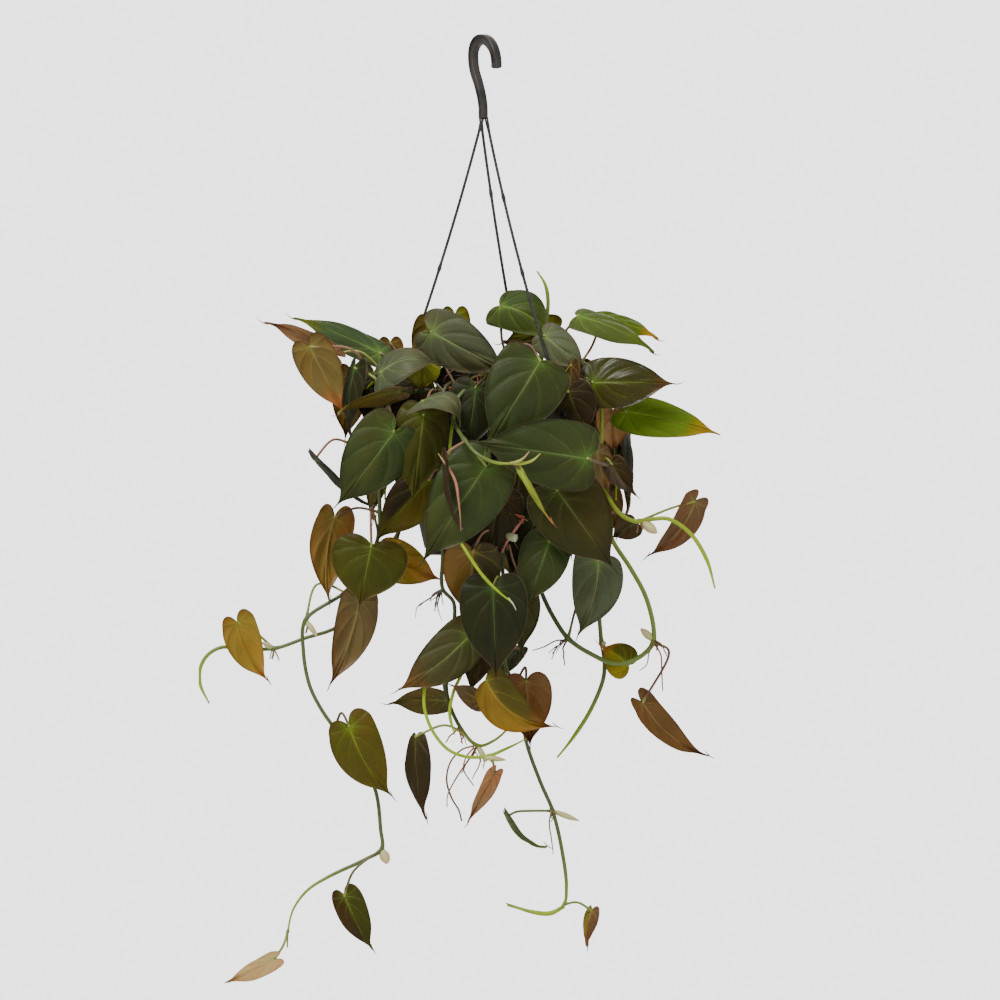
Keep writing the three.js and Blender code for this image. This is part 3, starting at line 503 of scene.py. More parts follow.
@dataclass(frozen=True)
class BladeFinish(Finish):
    """The velvety or glossy upper face of a leaf, or its satin underside."""

    vein_share: float = 0.6
    fine_share: float = 0.12
    cloud_tint: Colour = (0.8, 0.8, 0.8)
    edge_tint: Colour = (0.3, 0.3, 0.12)
    edge_share: float = 0.5
    vein_width: float = 0.5
    midrib_width: float = 0.9
    speck_share: float = 0.25
    speck_shade: Colour = (0.45, 0.4, 0.35)

    def look(self, sheet: NodeSheet, place: Any, mottle: Any) -> tuple[Any, Any, Any]:
        """Clouds the blade's own tint and lays the veins, the rim and the specks over it."""
        tint = sheet.attribute("tint").outputs["Color"]
        vein_tint = sheet.attribute("vein_tint").outputs["Color"]
        veins = sheet.add("ShaderNodeGroup", {
            "Vein place": sheet.attribute("vein_place").outputs["Vector"], "Wander": place,
            "Vein width": self.vein_width, "Midrib width": self.midrib_width,
        }, node_tree=VEINS).outputs
        dulled = sheet.blend(1.0, tint, self.cloud_tint, "MULTIPLY")
        colour = sheet.blend(mottle["Clouds"], dulled, tint)
        colour = sheet.blend(sheet.part(veins["Fine veins"], self.fine_share), colour, vein_tint)
        colour = sheet.blend(sheet.part(veins["Veins"], self.vein_share), colour, vein_tint)
        rim = sheet.ramp(sheet.attribute("margin").outputs["Fac"], 0.25, 0.9, 1.0, 0.0)
        colour = sheet.blend(sheet.part(rim, self.edge_share), colour, self.edge_tint)
        dark = sheet.blend(1.0, tint, self.speck_shade, "MULTIPLY")
        colour = sheet.blend(sheet.part(mottle["Specks"], self.speck_share), colour, dark)
        rough = sheet.ramp(mottle["Clouds"], 0.0, 1.0, self.rough + 0.05, self.rough - 0.05)
        height = sheet.math("MULTIPLY_ADD", mottle["Grain"], 0.25, veins["Relief"])
        return colour, rough, height


@dataclass(frozen=True)
class StalkFinish(Finish):
    """Stems, petioles, roots and sheaths: their own tint with clouds of a darker one and specks."""

    cloud_scale: float = 220.0
    speck_scale: float = 900.0
    streak: float = 0.35
    streak_shade: Colour = (0.62, 0.55, 0.5)
    speck_share: float = 0.4
    speck_tint: Colour = (0.08, 0.04, 0.02)

    def look(self, sheet: NodeSheet, place: Any, mottle: Any) -> tuple[Any, Any, Any]:
        """Darkens the stalk's own tint in clouds and speckles it."""
        tint = sheet.attribute("tint").outputs["Color"]
        dark = sheet.blend(1.0, tint, self.streak_shade, "MULTIPLY")
        colour = sheet.blend(sheet.part(mottle["Clouds"], self.streak), tint, dark)
        colour = sheet.blend(
            sheet.part(mottle["Specks"], self.speck_share), colour, self.speck_tint)
        rough = sheet.ramp(mottle["Clouds"], 0.0, 1.0, self.rough - 0.06, self.rough + 0.06)
        return colour, rough, mottle["Grain"]


@dataclass(frozen=True)
class PlasticFinish(Finish):
    """Moulded plastic: a base colour with faint flow clouds, dust and a fine moulded grain."""

    cloud_scale: float = 60.0
    speck_scale: float = 700.0
    grain_scale: float = 2400.0
    colour: Colour = (0.02, 0.02, 0.02)
    dust: Colour = (0.1, 0.09, 0.08)
    dust_share: float = 0.25
    speck_share: float = 0.18

    def look(self, sheet: NodeSheet, place: Any, mottle: Any) -> tuple[Any, Any, Any]:
        """Dusts the plastic in clouds and specks."""
        colour = sheet.blend(sheet.part(mottle["Clouds"], self.dust_share), self.colour, self.dust)
        colour = sheet.blend(sheet.part(mottle["Specks"], self.speck_share), colour, self.dust)
        rough = sheet.ramp(mottle["Clouds"], 0.0, 1.0, self.rough - 0.07, self.rough + 0.1)
        return colour, rough, mottle["Grain"]


@dataclass(frozen=True)
class SoilFinish(Finish):
    """Potting mix: dark fibre, paler bark and a few pale grains."""

    cloud_scale: float = 180.0
    speck_scale: float = 420.0
    grain_scale: float = 1100.0
    dark: Colour = (0.018, 0.011, 0.007)
    brown: Colour = (0.09, 0.05, 0.026)
    pale: Colour = (0.3, 0.22, 0.14)
    pale_share: float = 0.6

    def look(self, sheet: NodeSheet, place: Any, mottle: Any) -> tuple[Any, Any, Any]:
        """Mixes the fibre with the bark and strews the pale grains."""
        colour = sheet.blend(mottle["Clouds"], self.dark, self.brown)
        colour = sheet.blend(sheet.part(mottle["Specks"], self.pale_share), colour, self.pale)
        return colour, sheet.ramp(mottle["Clouds"], 0.0, 1.0, 0.85, 0.97), mottle["Grain"]


@dataclass(frozen=True)
class BackdropFinish(Finish):
    """A plain pale studio floor."""

    colour: Colour = (0.86, 0.86, 0.85)
    cloud_colour: Colour = (0.8, 0.8, 0.8)
    cloud_share: float = 0.1

    def look(self, sheet: NodeSheet, place: Any, mottle: Any) -> tuple[Any, Any, Any]:
        """Clouds the floor faintly."""
        share = sheet.part(mottle["Clouds"], self.cloud_share)
        return sheet.blend(share, self.colour, self.cloud_colour), self.rough, mottle["Grain"]


class Material:
    """The finished materials, each built once."""

    def __init__(self) -> None:
        """Builds every material of the part and its stage."""
        self.velvet = BladeFinish(
            "velvety leaf face", rough=0.46, specular=0.14, sheen=0.03, sheen_rough=0.3,
            sheen_tint=(0.75, 0.85, 0.6), bump=0.8, vein_share=0.55, fine_share=0.03,
            edge_tint=linear((140, 124, 92)), edge_share=0.32, vein_width=0.38, midrib_width=0.62,
        ).build()
        self.glossy = BladeFinish(
            "glossy leaf face", rough=0.3, specular=0.22, bump=0.9, vein_share=0.5, fine_share=0.04,
            edge_tint=linear((120, 84, 44)), edge_share=0.3, vein_width=0.4, midrib_width=0.8,
        ).build()
        self.underside = BladeFinish(
            "bronze leaf underside", rough=0.42, specular=0.2, sheen=0.02,
            sheen_tint=(0.9, 0.75, 0.6), bump=0.5, vein_share=0.5, fine_share=0.1,
            edge_share=0.3, edge_tint=linear((96, 60, 36)),
            vein_width=0.5, midrib_width=0.9,
        ).build()
        self.stem = StalkFinish("smooth green stem", rough=0.42, bump=0.15).build()
        self.root = StalkFinish(
            "dry aerial root", rough=0.8, bump=0.6, streak=0.7, speck_share=0.6).build()
        self.sheath = StalkFinish(
            "papery leaf sheath", rough=0.5, bump=0.2, speck_share=0.15).build()
        self.hook = PlasticFinish(
            "moulded dark hook plastic", rough=0.42, colour=linear((44, 40, 38)), bump=0.12,
            dust=linear((96, 88, 80)), dust_share=0.3,
        ).build()
        self.strand = PlasticFinish(
            "glossy strand plastic", rough=0.32, colour=linear((38, 37, 37)), bump=0.05,
            dust=linear((92, 88, 84)), dust_share=0.22,
        ).build()
        self.pot = PlasticFinish(
            "matte black pot plastic", rough=0.52, colour=linear((22, 21, 20)), bump=0.2,
            specular=0.26,
            dust=linear((74, 66, 56)), dust_share=0.2, cloud_scale=24.0,
        ).build()
        self.soil = SoilFinish(
            "crumbly potting mix", specular=0.2, bump=0.9, bump_depth=0.0012).build()
        self.floor = BackdropFinish("pale studio floor", rough=0.8, specular=0.2, bump=0.05).build()


def evaluated_mesh(maker: bpy.types.Object) -> bpy.types.Mesh:
    """Turns an object with a live modifier into a plain mesh and removes the object.

    Args:
        maker: The object whose modifier makes the mesh.

    Returns:
        The plain mesh.
    """
    bpy.context.view_layer.update()
    graph = bpy.context.evaluated_depsgraph_get()
    mesh = bpy.data.meshes.new_from_object(
        maker.evaluated_get(graph), preserve_all_data_layers=True, depsgraph=graph)
    maker.modifiers.clear()
    old = maker.data
    bpy.data.objects.remove(maker)
    bpy.data.meshes.remove(old)
    return mesh


@dataclass
class GrowthTree:
    """A geometry node tree with named inputs, which is run once over a mesh."""

    name: str
    inputs: dict[str, Any]

    def __post_init__(self) -> None:
        """Builds the tree's sockets and its nodes."""
        self.tree = bpy.data.node_groups.new(self.name, "GeometryNodeTree")
        self.tree.interface.new_socket("Geometry", in_out="INPUT", socket_type="NodeSocketGeometry")
        self.sockets = {}
        for label, value in self.inputs.items():
            kind = {int: "Int", float: "Float"}.get(type(value), "Material")
            socket = self.tree.interface.new_socket(
                label, in_out="INPUT", socket_type=f"NodeSocket{kind}")
            if kind != "Material":
                socket.default_value = value
            self.sockets[label] = socket.identifier
        self.tree.interface.new_socket(
            "Geometry", in_out="OUTPUT", socket_type="NodeSocketGeometry")
        self.sheet = NodeSheet(self.tree)
        self.given = self.sheet.add("NodeGroupInput").outputs
        self.lay_out()

    def lay_out(self) -> None:
        """Adds the tree's own nodes."""
        raise NotImplementedError

    def end_with(self, geometry: bpy.types.NodeSocket) -> None:
        """Realizes what the tree made, gives it its material and joins it to the output."""
        real = self.sheet.add("GeometryNodeRealizeInstances", {0: geometry})
        smooth = self.sheet.add("GeometryNodeSetShadeSmooth", {0: real.outputs[0]})
        painted = self.sheet.add(
            "GeometryNodeSetMaterial", {0: smooth.outputs[0], "Material": self.given["Material"]})
        self.sheet.add("NodeGroupOutput", {0: painted.outputs[0]})

    def grow(self, mesh: bpy.types.Mesh, **values: Any) -> bpy.types.Mesh:
        """Runs the tree over a mesh.

        Args:
            mesh: The mesh that the tree starts from.
            values: The inputs, by their names with underscores for spaces.

        Returns:
            The plain mesh that it makes.
        """
        maker = put("maker", mesh)
        modifier = maker.modifiers.new("grow", "NODES")
        modifier.node_group = self.tree
        for label, value in values.items():
            modifier[self.sockets[label.replace("_", " ")]] = value
        return evaluated_mesh(maker)


@dataclass
class SweptStalks(GrowthTree):
    """Round stalks that follow lines of edges, each point with its own thickness."""

    name: str = "swept stalks"
    inputs: dict[str, Any] = field(default_factory=lambda: {
        "Sides": 8, "Thickness": 1.0, "Material": None})

    def lay_out(self) -> None:
        """Turns the edges into curves and sweeps a circle along them."""
        curve = self.sheet.add("GeometryNodeMeshToCurve", {0: self.given["Geometry"]})
        width = self.sheet.add(
            "GeometryNodeInputNamedAttribute", {"Name": "thickness"}, data_type="FLOAT")
        scaled = self.sheet.math("MULTIPLY", width.outputs[0], self.given["Thickness"])
        ring = self.sheet.add("GeometryNodeCurvePrimitiveCircle", {
            "Resolution": self.given["Sides"], "Radius": 1.0})
        swept = self.sheet.add("GeometryNodeCurveToMesh", {
            "Curve": curve.outputs[0], "Profile Curve": ring.outputs[0], "Scale": scaled,
            "Fill Caps": True})
        self.end_with(swept.outputs[0])


@dataclass
class ScatteredCrumbs(GrowthTree):
    """Crumbs of soil and chips of bark that lie over a surface."""

    name: str = "scattered crumbs"
    inputs: dict[str, Any] = field(default_factory=lambda: {
        "Density": 30000.0, "Smallest": 0.0006, "Largest": 0.0022, "Seed": 11, "Material": None})

    def lay_out(self) -> None:
        """Scatters squashed balls over the faces, each turned and scaled by the seed."""
        given, sheet = self.given, self.sheet
        spots = sheet.add("GeometryNodeDistributePointsOnFaces", {
            "Mesh": given["Geometry"], "Density": given["Density"], "Seed": given["Seed"]})
        ball = sheet.add("GeometryNodeMeshIcoSphere", {"Radius": 1.0, "Subdivisions": 1})
        spin = sheet.add("FunctionNodeRandomValue", {"Max": (6.3, 6.3, 6.3), "Seed": given["Seed"]},
                         data_type="FLOAT_VECTOR")
        size = sheet.add("FunctionNodeRandomValue", {"Seed": given["Seed"]}, data_type="FLOAT")
        sheet.feed(size.inputs[2], given["Smallest"])
        sheet.feed(size.inputs[3], given["Largest"])
        shape = sheet.add("ShaderNodeCombineXYZ", {
            0: size.outputs[1], 1: sheet.math("MULTIPLY", size.outputs[1], 0.7),
            2: sheet.math("MULTIPLY", size.outputs[1], 0.45)})
        laid = sheet.add("GeometryNodeInstanceOnPoints", {
            "Points": spots.outputs["Points"], "Instance": ball.outputs[0],
            "Rotation": spin.outputs[0], "Scale": shape.outputs[0]})
        self.end_with(laid.outputs[0])


SWEEP = SweptStalks()
CRUMBS = ScatteredCrumbs()


@dataclass
class Lines:
    """Lines of edges that stalks are swept along."""

    points: list[Array] = field(default_factory=list)
    edges: list[tuple[int, int]] = field(default_factory=list)
    widths: list[Array] = field(default_factory=list)
    tints: list[Array] = field(default_factory=list)
    count: int = 0

    def add(self, line: Array, widths: Array, tints: Array) -> None:
        """Adds a line.

        Args:
            line: Its points.
            widths: The radius at each point, in metres.
            tints: A linear colour, or one for each point.
        """
        size = len(line)
        self.edges.extend((self.count + i, self.count + i + 1) for i in range(size - 1))
        self.points.append(line)
        self.widths.append(np.broadcast_to(widths, (size,)))
        self.tints.append(np.broadcast_to(tints, (size, 3)))
        self.count += size

    def sweep(self, sides: int) -> bpy.types.Mesh:
        """Sweeps round stalks along the lines and gives them as a plain mesh."""
        mesh = bpy.data.meshes.new("lines")
        mesh.from_pydata(np.vstack(self.points).tolist(), self.edges, [])
        width = mesh.attributes.new("thickness", "FLOAT", "POINT")
        width.data.foreach_set("value", np.concatenate(self.widths))
        tint = mesh.attributes.new("tint", "FLOAT_COLOR", "POINT")
        colours = np.hstack([np.vstack(self.tints), np.ones((self.count, 1))])
        tint.data.foreach_set("color", colours.ravel())
        return SWEEP.grow(mesh, Sides=sides)


@dataclass(frozen=True)
class LeafColours:
    """The colours of a leaf, as parts of 255.

    They are the upper face between the veins, the underside between the veins, the tip, the
    glow beside the veins and round the joint, and the fine line of each vein.
    """

    face: Colour
    back: Colour
    tip: Colour
    glow: Colour
    line: Colour


class Tone(Enum):
    """The kinds of leaf colour that the plant shows, from new to old and from face to underside; the
    grey tone is painted sheen and the backlit tone is painted light that shines through the blade.
    """

    VELVET = LeafColours((56, 66, 30), (108, 84, 40), (58, 62, 26), (78, 98, 44), (122, 134, 84))
    DEEP = LeafColours((40, 42, 19), (84, 64, 32), (50, 46, 20), (58, 76, 34), (96, 104, 64))
    OLIVE = LeafColours((70, 68, 14), (112, 92, 32), (80, 72, 14), (84, 94, 24), (126, 130, 62))
    MOSS = LeafColours((88, 78, 18), (118, 100, 36), (96, 86, 14), (104, 114, 20), (142, 144, 60))
    # Painted sheen: this grey tone is the grey that the velvet's sheen lays over a blade, given as
    # its colour.
    SHEEN_GREY = LeafColours((84, 88, 60), (112, 92, 52), (76, 74, 44), (106, 120, 74), (148, 156, 110))
    BRIGHT = LeafColours((70, 86, 34), (118, 112, 40), (92, 104, 26), (92, 120, 44), (150, 168, 88))
    FRESH = LeafColours((68, 84, 48), (112, 110, 44), (118, 126, 34), (94, 120, 58), (142, 162, 98))
    GLOSSY = LeafColours((64, 60, 16), (100, 74, 34), (112, 66, 30), (86, 98, 24), (124, 136, 50))
    YELLOWING = LeafColours(
        (82, 106, 18), (150, 126, 40), (186, 140, 26), (104, 132, 28), (150, 166, 70))
    UMBER = LeafColours((54, 44, 20), (88, 66, 34), (58, 40, 20), (70, 64, 28), (112, 94, 62))
    BACKLIT = LeafColours((88, 96, 18), (106, 108, 20), (92, 84, 18), (112, 124, 30), (80, 82, 22))
    BRONZE = LeafColours((80, 68, 26), (124, 94, 40), (112, 76, 30), (114, 108, 36), (164, 134, 78))
    RUST = LeafColours((84, 60, 28), (112, 78, 36), (92, 54, 26), (104, 84, 34), (152, 112, 66))
    AMBER = LeafColours(
        (130, 100, 30), (160, 126, 38), (170, 112, 50), (150, 142, 36), (112, 80, 26))
    GOLD = LeafColours((100, 80, 12), (132, 96, 18), (132, 76, 22), (122, 112, 20), (160, 136, 56))
    MAUVE = LeafColours((96, 76, 48), (112, 92, 52), (112, 72, 42), (118, 112, 44), (156, 132, 90))
    FAWN = LeafColours((132, 110, 60), (116, 98, 46), (160, 96, 46), (130, 118, 44), (152, 130, 78))
    COPPER = LeafColours((136, 98, 60), (176, 130, 86), (150, 98, 60), (160, 118, 76), (94, 58, 34))
    TAN = LeafColours(
        (176, 140, 84), (190, 154, 100), (176, 112, 56), (180, 162, 92), (212, 186, 136))
    DUSKY = LeafColours((61, 60, 22), (88, 74, 34), (56, 50, 22), (84, 90, 36), (124, 130, 78))
    SAGE = LeafColours((70, 70, 36), (104, 88, 46), (112, 80, 36), (96, 106, 52), (142, 146, 92))
    ROSY = LeafColours((104, 74, 44), (118, 84, 54), (122, 76, 40), (124, 108, 50), (158, 128, 92))
    LIME = LeafColours(
        (150, 166, 52), (146, 150, 60), (204, 126, 78), (172, 184, 70), (192, 204, 100))
    YOUNG = LeafColours(
        (138, 126, 16), (150, 126, 24), (168, 106, 30), (150, 154, 26), (188, 186, 84))


# Half of a blade's outline as (across, along), in half widths and lengths from the petiole's
# joint: down into the notch, round the lobe and out to the drawn-out tip
HALF_RIM = (
    (0.01, -0.01), (0.06, -0.055), (0.18, -0.105), (0.38, -0.14), (0.62, -0.13), (0.84, -0.06),
    (0.97, 0.06), (1.0, 0.2), (0.965, 0.34), (0.86, 0.48), (0.69, 0.61), (0.48, 0.72), (0.28, 0.8),
    (0.135, 0.865), (0.055, 0.92), (0.022, 0.965), (0.005, 1.0),
)
RIM_ROWS = 50
HALF_COLUMNS = 10
ROWS, COLUMNS = RIM_ROWS + 1, 2 * HALF_COLUMNS + 1
VEIN_COUNT = 5
# The outline is stretched lengthwise while its points are spaced
RIM_STRETCH = 1.6
# Where on the midrib a row starts, for where it ends along the blade
ROW_ENDS = (0.3, 0.55, 0.75, 0.85, 0.93, 1.0)
ROW_STARTS = (0.0, 0.06, 0.24, 0.5, 0.78, 0.995)
# The numbers of a leaf's materials
FACE_FINISH, BACK_FINISH, GLOSSY_FINISH = 0, 1, 2
# How clouds warm and cool the upper face and the underside: the warm clouds are the blade's own
# bronze, and on the upper face the cool grey clouds are painted sheen of the velvet
FACE_CLOUDS = np.array([1.18, 1.0, 0.85]), np.array([0.84, 0.94, 1.0])
BACK_CLOUDS = np.array([1.14, 0.9, 0.7]), np.array([0.9, 1.02, 1.0])
CLOUD_WAVES = 5


def blade_grid() -> tuple[Array, Array, Array, Array]:
    """Lays out the flat grid that every blade is made from.

    Its rows follow the veins: most start at the joint and the rest low on the midrib, and they
    sweep out and then forward to the rim.

    Returns:
        The across and along places, the row's share of the rim, and the column's share of the row,
        each as rows from the notch to the tip and columns from one rim over the midrib to the
        other.
    """
    flat = [np.array([x, y * RIM_STRETCH, 0.0]) for x, y in HALF_RIM]
    rim = smooth_line(flat, 0.002)
    run = np.linspace(0, len(rim) - 1, ROWS)
    count = np.arange(len(rim))
    rim = np.stack([np.interp(run, count, rim[:, axis]) for axis in (0, 1)], axis=1)
    rim[:, 1] /= RIM_STRETCH
    share = np.linspace(0, 1, ROWS)
    rib = np.maximum(np.interp(rim[:, 1], ROW_ENDS, ROW_STARTS), 0.03 * share)
    side = np.arange(-HALF_COLUMNS, HALF_COLUMNS + 1) / HALF_COLUMNS
    spread = np.abs(side) ** 1.5
    across = np.sign(side) * spread * (1.85 - 0.85 * spread) * rim[:, :1]
    along = rib[:, None] + (rim[:, 1:] - rib[:, None]) * spread * (0.62 + 0.38 * spread)
    return (across, along, np.broadcast_to(share[:, None], across.shape),
            np.broadcast_to(spread, across.shape))


BLADE_GRID = blade_grid()


@dataclass(frozen=True)
class Leaf:
    """A leaf: its petiole's start on the drawing, its blade's joint and tip, and its bends.

    The width and the tail, the thread at the tip, are in steps. The turn is in degrees round the
    blade's length, and facing is the azimuth that the upper face looks to, the viewer's where it
    is None. The petiole bends through the via places and takes the stalk's colour. Arch, sway,
    ripple and curl are shares of the length, and cup and fold of the half width. Lobes and
    shoulder scale the blade's back end. half_lighting colours its right half with painted light and
    shade, as they fall differently on the two halves of a folded blade, and gain brightens it,
    which on a few pale leaves paints the light that shines through them.
    """

    start: Place
    joint: Place
    tip: Place
    width: float
    turn: float = 0.0
    tone: Tone = Tone.VELVET
    via: tuple[Place, ...] = ()
    arch: float = 0.05
    cup: float = -0.12
    fold: float = 0.1
    sway: float = 0.0
    lobes: float = 1.0
    shoulder: float = 1.0
    half_lighting: Colour | None = None
    gain: float = 1.0
    stalk: Colour | None = None
    tail: float = 8.0
    facing: float | None = None
    thickness: float = 0.55 * MM
    relief: float = 0.09
    ripple: float = 0.012
    waves: float = 2.6
    curl: float = 0.05
    curl_from: float = 0.72
    curl_run: float = 0.28
    most_quilt: float = 2.1 * MM
    rib_width: float = 1.0 * MM
    rib_groove: float = 0.3 * MM
    rib_ridge: float = 0.75 * MM

    def axes(self) -> tuple[Array, Array, Array, Array, float]:
        """Gives the joint, the directions along, to the upper face and sideways, and the length."""
        start = at(self.joint)
        along = at(self.tip) - start
        length = float(np.linalg.norm(along))
        along = along / length
        azimuth = math.radians(-90 if self.facing is None else self.facing)
        upper = np.array([math.cos(azimuth), math.sin(azimuth), 0.0])
        upper = unit(upper - along * upper.dot(along))
        turned = Matrix.Rotation(math.radians(self.turn), 3, Vector(along)) @ Vector(upper)
        upper = np.array(turned)
        return start, along, upper, unit(np.cross(along, upper)), length

    def surface(self, across: Array, along: Array) -> Array:
        """Gives points of the blade's middle surface.

        Args:
            across: Places across, in half widths.
            along: Places along, in lengths.

        Returns:
            The points, with one more axis than the places.
        """
        start, forward, upper, side, length = self.axes()
        half = self.width * STEP / 2
        width = half * (self.shoulder + (1 - self.shoulder) * smooth_step(-0.15, 0.4, along))
        bow = length * self.sway * 4 * np.maximum(along, 0) * (1 - along)
        span = np.clip(along, -0.2, 1)
        height = (
            length * self.arch * 4 * span * (1 - span) + half * self.cup * np.abs(across) ** 1.5)
        height = height - half * self.fold * (np.abs(across) * (1 - span)) ** 0.8
        reach = np.maximum(along, 0) + np.minimum(along, 0) * self.lobes
        return (
            start + reach[..., None] * length * forward + (across * width + bow)[..., None] * side
            + height[..., None] * upper
        )

    def thread(self) -> tuple[Array, Array, Array]:
        """Lays out the thin thread that the blade's tip is drawn out into.

        Returns:
            The thread's points, and the radius and the colour at each.
        """
        _, forward, upper, _, length = self.axes()
        run = np.linspace(-0.7, 1.0, 10)[:, None]
        tip = self.surface(np.zeros(1), np.ones(1))[0] - length * self.curl * upper
        points = tip + run * self.tail * STEP * (forward + 0.3 * run * UP)
        radius = np.interp(run[:, 0], (-0.7, 0, 1), (0.3, 0.5, 0.14)) * MM
        tint = shade(self.tone.value.tip) * np.interp(run, (-0.7, 0.3), (0.9, 0.35))
        return points, radius, tint

    def build(self, parts: MeshParts, seed: int) -> None:
        """Adds the blade to a piece, upper face first.

        Args:
            parts: The piece's parts.
            seed: The seed of the leaf's own ripples and shade.
        """
        draw = np.random.default_rng(seed)
        across, along, share, spread = BLADE_GRID
        _, _, upper, _, length = self.axes()
        half = self.width * STEP / 2
        middle = self.surface(across, along)
        number = share * VEIN_COUNT
        rise = np.linalg.norm(np.gradient(middle, axis=0), axis=2) * RIM_ROWS / VEIN_COUNT
        bulge = np.abs(np.sin(np.pi * (number - 0.5))) ** 0.6 * np.sin(np.pi * spread) ** 0.6
        quilt = np.minimum(self.relief * rise, self.most_quilt) * bulge
        phase = draw.uniform(0, FULL_TURN, 2)
        swing = np.sin(2 * np.pi * self.waves * share + np.where(across < 0, phase[0], phase[1]))
        ripple = length * self.ripple * spread ** 2 * swing * np.sin(np.pi * share)
        droop = -length * self.curl * np.clip((along - self.curl_from) / self.curl_run, 0, 1) ** 2
        rib = np.exp(-((across * half) / self.rib_width) ** 2) * (1 - 0.75 * np.clip(along, 0, 1))
        body = self.thickness * (0.5 - 0.32 * spread ** 4)
        lift = quilt + ripple + droop
        top = middle + (lift + body - self.rib_groove * rib)[..., None] * upper
        under = middle + (lift - body - self.rib_ridge * rib)[..., None] * upper
        places = np.stack([np.abs(across) * half / MM, number, rise / MM], axis=2).reshape(-1, 3)
        reach = np.linalg.norm(middle - middle[:, [HALF_COLUMNS]], axis=2)
        margin = ((np.maximum(reach[:, [0]], reach[:, [-1]]) - reach) / MM).reshape(-1, 1)
        line = shade(self.tone.value.line)
        fade = 0.75 * smooth_step(0.15, 1.15, (along + 0.35 * spread).reshape(-1, 1))
        face_finish = GLOSSY_FINISH if self.tone is Tone.GLOSSY else FACE_FINISH
        for points, face, finish in ((top, True, face_finish), (under, False, BACK_FINISH)):
            tint = self.tints(middle, places, margin, np.random.default_rng(seed + 7), face)
            parts.add(
                points.reshape(-1, 3), grid_faces(ROWS, COLUMNS, not face), finish, tint=tint,
                vein_tint=line * (1 - fade) + tint * fade, vein_place=places, margin=margin)
        self.close_rim(parts)

    def tints(self, middle: Array, places: Array, margin: Array, draw: Any, face: bool) -> Array:
        """Colours one face: cloudy between the veins, with a glow beside them and at the joint.

        Args:
            middle: The points of the blade's middle surface.
            places: The vein place of each point.
            margin: How far each point is from the rim, in millimetres.
            draw: The source of the clouds' places.
            face: True for the upper face.

        Returns:
            A linear colour for each point.
        """
        across, along, _, _ = (part.reshape(-1, 1) for part in BLADE_GRID)
        from_rib, number, spacing = (places[:, [axis]] for axis in range(3))
        tones = self.tone.value
        base = shade(tones.face if face else tones.back)
        base = base * (1 + draw.uniform(-0.08, 0.08)) * self.gain
        # Painted light and shade: the right half takes another colour, as light and shade fall
        # differently on the two halves of the folded blade.
        if self.half_lighting:
            base = toward(base, shade(self.half_lighting), smooth_step(-0.02, 0.14, across))
        clouds = np.zeros_like(across)
        for _ in range(CLOUD_WAVES):
            push = draw.normal(0, 2.2, 2)
            phase = across * push[0] + along * push[1] * 1.6 + draw.uniform(0, FULL_TURN)
            clouds += np.sin(phase) / CLOUD_WAVES
        # On the upper face the cool clouds paint the grey sheen of the velvet: a painted sheen.
        warm, cool = FACE_CLOUDS if face else BACK_CLOUDS
        warmed, cooled = np.clip(clouds * 1.6, 0, 1), np.clip(-clouds * 1.6, 0, 1)
        tint = base * (1 + warmed * (warm - 1) + cooled * (cool - 1))
        beside = np.abs(number % 1 - 0.5) * spacing
        halo = np.maximum(np.exp(-(from_rib / 1.8) ** 2), 0.7 * np.exp(-(beside / 1.5) ** 2))
        halo = halo * (1 - 0.65 * np.clip(along, 0, 1))
        length = self.axes()[-1]
        from_joint = np.linalg.norm(middle.reshape(-1, 3) - at(self.joint), axis=1)[:, None]
        star = np.exp(-(from_joint / (0.085 * length)) ** 2)
        streak = np.exp(-(from_rib / 1.1) ** 2) * (1 - smooth_step(0.05, 0.5, along))
        glow = shade(tones.glow)
        bright = glow * np.array([1.15, 1.5, 0.9])
        halo_share, star_share = (0.38, 0.7) if face else (0.3, 0.3)
        tint = toward(tint, glow, halo * halo_share)
        tint = toward(tint, bright, np.clip(star + 0.8 * streak, 0, 1) * star_share)
        outer = (1 - smooth_step(0.4, 5.0, margin)) * (1 - 0.5 * star)
        tint = tint * (1 - outer * np.array([0.1, 0.24, 0.12]))
        return toward(tint, shade(tones.tip), smooth_step(0.6, 0.9, along + clouds * 0.12))

    def close_rim(self, parts: MeshParts) -> None:
        """Joins the rims of the two faces that were added last."""
        size = ROWS * COLUMNS
        top = parts.count - 2 * size
        left = range(0, size, COLUMNS)
        right = range(COLUMNS - 1, size, COLUMNS)
        first, last = range(COLUMNS), range(size - COLUMNS, size)
        for row, flip in ((left, False), (right, True), (first, True), (last, False)):
            for a, b in zip(row, row[1:]):
                quad = (top + a, top + b, top + size + b, top + size + a)
                parts.faces.append(quad if flip else quad[::-1])
                parts.finishes.append(BACK_FINISH)


def grid_faces(rows: int, columns: int, flip: bool) -> list[tuple[int, int, int, int]]:
    """Lists the faces of a grid of points.

    Args:
        rows: The number of rows.
        columns: The number of columns.
        flip: True to turn the faces round.

    Returns:
        Four corners for each face.
    """
    faces = []
    for row in range(rows - 1):
        for column in range(columns - 1):
            a = row * columns + column
            quad = (a, a + 1, a + columns + 1, a + columns)
            faces.append(quad[::-1] if flip else quad)
    return faces


def nearest_on(lines: Sequence[Array], place: Place) -> tuple[Array, Array]:
    """Finds the point of a vine's stems that is nearest to a place on the drawing.

    Args:
        lines: The stems' points.
        place: The place; without a depth, the front view alone decides.

    Returns:
        The point, and the stem's direction there.
    """
    wanted = at((*place, 0)) if len(place) == 2 else at(place)
    best, found, heading = math.inf, lines[0][0], UP
    for line in lines:
        gap = line - wanted
        if len(place) == 2:
            gap = gap * np.array([1, 0, 1])
        far = np.linalg.norm(gap, axis=1)
        spot = int(np.argmin(far))
        if far[spot] < best:
            best, found = float(far[spot]), line[spot]
            heading = unit(line[min(spot + 1, len(line) - 1)] - line[max(spot - 1, 0)])
    return found, heading


